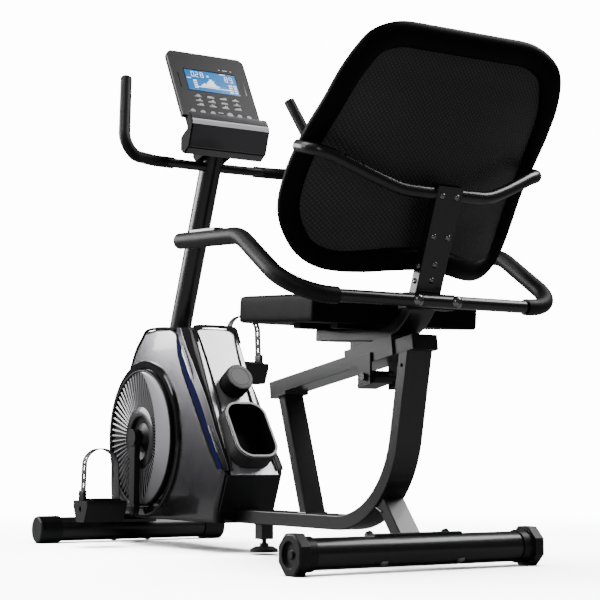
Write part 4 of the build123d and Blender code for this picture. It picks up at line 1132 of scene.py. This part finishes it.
# ---------------------------------------------------------------- seat
@dataclass
class Seat(Assembly):
    """Sliding carriage, cushion, backrest roll and mesh."""

    body: Body = Body.SEAT
    # Half of the roll's line, from the top's middle to the foot's
    roll: Rows = ((-170, 0, 993), (-170, 80, 993), (-168, 150, 992), (-163, 196, 976), (-155, 219, 953),
                  (-125, 238, 912), (-85, 248, 865), (-41, 256, 822), (-1, 260, 779), (26, 262, 741),
                  (46, 261, 703), (55, 254, 672), (57, 241, 645), (56, 222, 620), (48, 195, 602),
                  (34, 163, 594), (8, 118, 592), (-14, 66, 596), (-22, 0, 600))
    # Height of the net, its half width there, and how far forward its edge and its middle are
    levels: Rows = ((592.0, 120.0, 8.0, -20.0), (602.0, 200.0, 50.0, -21.0), (630.0, 238.0, 57.0, -27.0),
                    (660.0, 252.0, 58.0, -38.0), (705.0, 262.0, 48.0, -56.0), (762.0, 262.0, 12.0, -79.0),
                    (823.0, 256.0, -42.0, -103.0), (880.0, 246.0, -98.0, -126.0),
                    (930.0, 232.0, -136.0, -146.0), (975.0, 200.0, -163.0, -165.0),
                    (991.0, 150.0, -168.0, -171.0))
    tube: Rows = ((-104, 0, 716), (-104, 62, 716), (-101, 104, 719), (-93, 150, 735), (-82, 196, 755),
                  (-73, 232, 771), (-64, 258, 780), (-50, 270, 785.5), (-34, 275, 790), (-8, 276, 797))
    net_flat: tuple[float, float] = (0.53, 0.44)
    # Left half of the pad from its rear middle round to its front middle, on the pad's own plane
    pad: Rows = ((-3, 0), (-3, 120), (-3, 184), (-2, 193), (3, 198.5), (12, 199.8), (60, 195.5), (200, 182),
                 (322, 170.5), (334, 168.5), (344, 163), (404, 125), (413, 118), (418, 108), (419, 96),
                 (419, 0))
    # How far inside that outline each ring of the pad lies, and its height
    pad_rings: Rows = ((40, -1.0), (10, -3.0), (2, -3.2), (0, -1.5), (-1, 4.0), (-1, 24.0), (-1, 43.0),
                       (0.5, 48.5), (4, 51.0), (14, 52.6), (60, 54.0))
    pad_foot: tuple[float, float] = (58.0, 478.0)
    pad_middle: float = 210.0
    pad_tilt: float = radians(4.125)

    def build(self) -> None:
        """Makes the seat."""
        for node in ("seat_saddle", "seat_post", "back_bracket"):
            self.ease(node, COAT_BLACK, "satin_black", 1.4)
        self.ease("lock_lever", ABS_GRAINED, "moulded_black", 2.0, Body.LEVER)
        self.dress(CHROMED, "seat_fasteners")
        self.brace()
        self.back_roll()
        self.back_net()
        self.cushion()

    def brace(self) -> None:
        """Support tube: an oval tube across the post, sweeping out and forward round the roll."""
        rows = both_halves(self.tube, False)
        stations = [(at(*blended(rows, i / 6)), Vector((0, 0, 1)), 0.0125, 0.0102)
                    for i in range((len(rows) - 1) * 6 + 1)]
        self.piece("support_oval", tube_through(stations, 24, False), COAT_BLACK, "satin_black",
                   ["support_tube"], smooth=50)

    def back_roll(self) -> None:
        """Padded roll round the backrest, oval, with a sewn welt on its inner side."""
        rows = both_halves(self.roll, True)
        stations, welt = [], []
        middle = at(-60, 0, 800)
        for i in range((len(rows) - 3) * 5):
            spot = at(*blended(rows, i / 5))
            top = max(0.0, min(1.0, (spot.z - 0.88) / 0.1))
            inward = (middle - spot).normalized()
            stations.append((spot, inward, 0.0225 + 0.003 * top, 0.0165))
            welt.append((spot + inward * 0.0205, inward, 0.0022, 0.0022))
        roll = self.piece("backrest_roll", tube_through(stations, 20, True), VINYL_BLACK, "black_vinyl",
                          ["back_rim"], smooth=180)
        smoother = roll.modifiers.new("soft", "SUBSURF")
        smoother.levels = smoother.render_levels = 1
        self.piece("backrest_welt", tube_through(welt, 8, True), VINYL_BLACK, "black_vinyl", smooth=180)

    def back_net(self) -> None:
        """Woven panel stretched inside the roll, bowed round the rider's back."""
        bm = bmesh.new()
        bmesh.ops.create_grid(bm, x_segments=60, y_segments=60, size=0.5)
        low, high = self.levels[0][0], self.levels[-1][0]
        for v in bm.verts:
            across, z = v.co.x * 2, low + (high - low) * (v.co.y + 0.5)
            half, side_x, middle_x = blended(self.levels, z)
            v.co = at(middle_x + (side_x - middle_x) * across * across, half * across, z)
        bmesh.ops.recalc_face_normals(bm, faces=bm.faces)
        net = self.piece("backrest_net", bm, MESH_BLACK, "black_mesh", ["back_mesh"], smooth=180)
        wall = net.modifiers.new("cloth", "SOLIDIFY")
        wall.thickness, wall.offset = 0.0016, 0

    def cushion(self) -> None:
        """Seat pad: crowned top, square rear and narrower front with rounded corners."""
        full = [*self.pad, *((x, -y) for x, y in self.pad[-2:0:-1])]
        bm = bmesh.new()
        rings = []
        for inset, height in self.pad_rings:
            ring = []
            shrink = 1 - inset / 205
            for x, y in full:
                along = self.pad_middle + (x - self.pad_middle) * shrink
                forward = along * cos(self.pad_tilt) - height * sin(self.pad_tilt)
                up = along * sin(self.pad_tilt) + height * cos(self.pad_tilt)
                ring.append(bm.verts.new(at(self.pad_foot[0] + forward, y * shrink, self.pad_foot[1] + up)))
            rings.append(ring)
        count = len(full)
        for a, b in zip(rings, rings[1:]):
            for i in range(count):
                bm.faces.new((a[i], a[(i + 1) % count], b[(i + 1) % count], b[i]))
        for ring in (rings[0], rings[-1]):
            bm.faces.new(ring)
        bmesh.ops.triangulate(bm, faces=[f for f in bm.faces if len(f.verts) > 4])
        bmesh.ops.recalc_face_normals(bm, faces=bm.faces)
        pad = self.piece("seat_pad", bm, VINYL_BLACK, "black_vinyl", ["seat_cushion"], smooth=180)
        soft = pad.modifiers.new("soft", "SUBSURF")
        soft.levels = soft.render_levels = 3


# ---------------------------------------------------------------- studio
@dataclass
class Studio:
    """Pale floor, soft lights and the camera."""

    focal_mm: float = 94.15
    eye: tuple[float, float, float] = (-2463.0, 1811.0, 223.0)
    heading: float = radians(32.12)
    pitch: float = radians(5.6)
    seen_white: float = 14.0
    world_strength: float = 0.09

    def build(self) -> None:
        """Sets the studio up."""
        self.camera()
        self.floor()
        self.lights()

    def camera(self) -> None:
        """Camera at the rear left, low."""
        data = bpy.data.cameras.new("camera")
        data.lens, data.sensor_width, data.clip_end = self.focal_mm, 36.0, 60.0
        cam = bpy.data.objects.new("camera", data)
        bpy.context.scene.collection.objects.link(cam)
        level = cos(self.pitch)
        look = Vector((cos(self.heading) * level, -sin(self.heading) * level, sin(self.pitch)))
        cam.location = at(*self.eye)
        cam.rotation_euler = look.to_track_quat("-Z", "Y").to_euler()
        bpy.context.scene.camera = cam

    def floor(self) -> None:
        """Seamless floor: white to the camera, dark to the bike so that its underside stays black."""
        bm = bmesh.new()
        bmesh.ops.create_grid(bm, x_segments=1, y_segments=1, size=14.0)
        data = bpy.data.meshes.new("studio_floor")
        bm.to_mesh(data)
        bm.free()
        made = bpy.data.materials.new("paper matt")
        made.use_nodes = True
        tree = made.node_tree
        shader = tree.nodes["Principled BSDF"]
        shader.inputs["Base Color"].default_value = linear("#262626")
        shader.inputs["Roughness"].default_value = 0.8
        near = add_node(tree, "ShaderNodeBsdfDiffuse", {"Color": linear("#f8f8f8")})
        far = add_node(tree, "ShaderNodeEmission", {"Color": linear("#ffffff"), "Strength": self.seen_white})
        place = add_node(tree, "ShaderNodeTexCoord").outputs["Object"]
        reach = add_node(tree, "ShaderNodeVectorMath", {0: place}, operation="LENGTH")
        share = add_node(tree, "ShaderNodeMapRange",
                         {"Value": reach.outputs["Value"], "From Min": 1.0, "From Max": 2.6},
                         interpolation_type="SMOOTHSTEP")
        white = add_node(tree, "ShaderNodeMixShader",
                         {0: share.outputs[0], 1: near.outputs[0], 2: far.outputs[0]})
        self.seen(tree, shader.outputs[0], white.outputs[0], tree.nodes["Material Output"])
        data.materials.append(made)
        plane = bpy.data.objects.new("studio_floor", data)
        bpy.context.scene.collection.objects.link(plane)
        own = bpy.data.collections.new("floor only")
        own.objects.link(plane)
        bpy.context.scene.collection.children.link(own)
        lamp = self.box("box floor", (-0.4, 0.4, 5.5), (0.0, 0.0, 0.0), (5.0, 5.0), 3600)
        lamp.light_linking.receiver_collection = own

    def seen(self, tree: bpy.types.NodeTree, lit: bpy.types.NodeSocket, white: bpy.types.NodeSocket,
             output: bpy.types.Node) -> None:
        """Shows one shader straight to the camera and another to the light that reaches the bike.

        Args:
            tree: the node tree.
            lit: the shader that lights the bike.
            white: the shader that is seen directly.
            output: the tree's output node.
        """
        ray = add_node(tree, "ShaderNodeLightPath")
        both = add_node(tree, "ShaderNodeMixShader", {0: ray.outputs["Is Camera Ray"], 1: lit, 2: white})
        tree.links.new(both.outputs[0], output.inputs["Surface"])

    def box(self, name: str, place: tuple, target: tuple, size: tuple, power: float) -> bpy.types.Object:
        """Adds a soft box.

        Args:
            name: its name.
            place: its middle, in metres.
            target: the point it faces.
            size: its two sides, in metres.
            power: watts.

        Returns:
            The lamp.
        """
        data = bpy.data.lights.new(name, "AREA")
        data.shape, data.energy = "RECTANGLE", power
        data.size, data.size_y = size
        lamp = bpy.data.objects.new(name, data)
        bpy.context.scene.collection.objects.link(lamp)
        lamp.location = place
        lamp.rotation_euler = (Vector(target) - Vector(place)).to_track_quat("-Z", "Y").to_euler()
        return lamp

    def lights(self) -> None:
        """Dim grey surroundings and soft boxes placed to rim the black parts."""
        world = bpy.data.worlds.new("studio")
        bpy.context.scene.world = world
        world.use_nodes = True
        tree = world.node_tree
        back = tree.nodes["Background"]
        back.inputs["Color"].default_value = linear("#ffffff")
        back.inputs["Strength"].default_value = self.world_strength
        white = add_node(tree, "ShaderNodeBackground",
                         {"Color": linear("#ffffff"), "Strength": self.seen_white})
        self.seen(tree, back.outputs[0], white.outputs[0], tree.nodes["World Output"])
        self.box("box front left", (3.0, 2.4, 1.9), (0.1, 0, 0.6), (2.2, 2.0), 175)
        self.box("box spine", (-0.9, -1.75, 2.75), (0.1, 0, 0.35), (1.5, 1.5), 75)
        self.box("box top left", (0.5, 1.8, 3.2), (0, 0, 0.5), (1.6, 1.6), 45)
        self.box("box bevel", (0.75, 2.75, 2.0), (0.15, 0.07, 0.4), (0.5, 0.9), 10)
        self.box("box rear left", (-3.4, 3.0, 2.2), (-0.1, 0, 0.6), (0.7, 1.6), 18)


def main() -> None:
    """Builds the studio and every assembly in order."""
    logging.basicConfig(level=logging.INFO, format="%(name)s: %(message)s")
    Studio().build()
    total = 0
    for part in (SteelFrame(), Casing(), Drive(), Console(), Bars(), Seat()):
        part.build()
        total += len(part.made)
    log.info("%d pieces", total)
    bpy.context.view_layer.update()


if __name__ == "__main__":
    main()
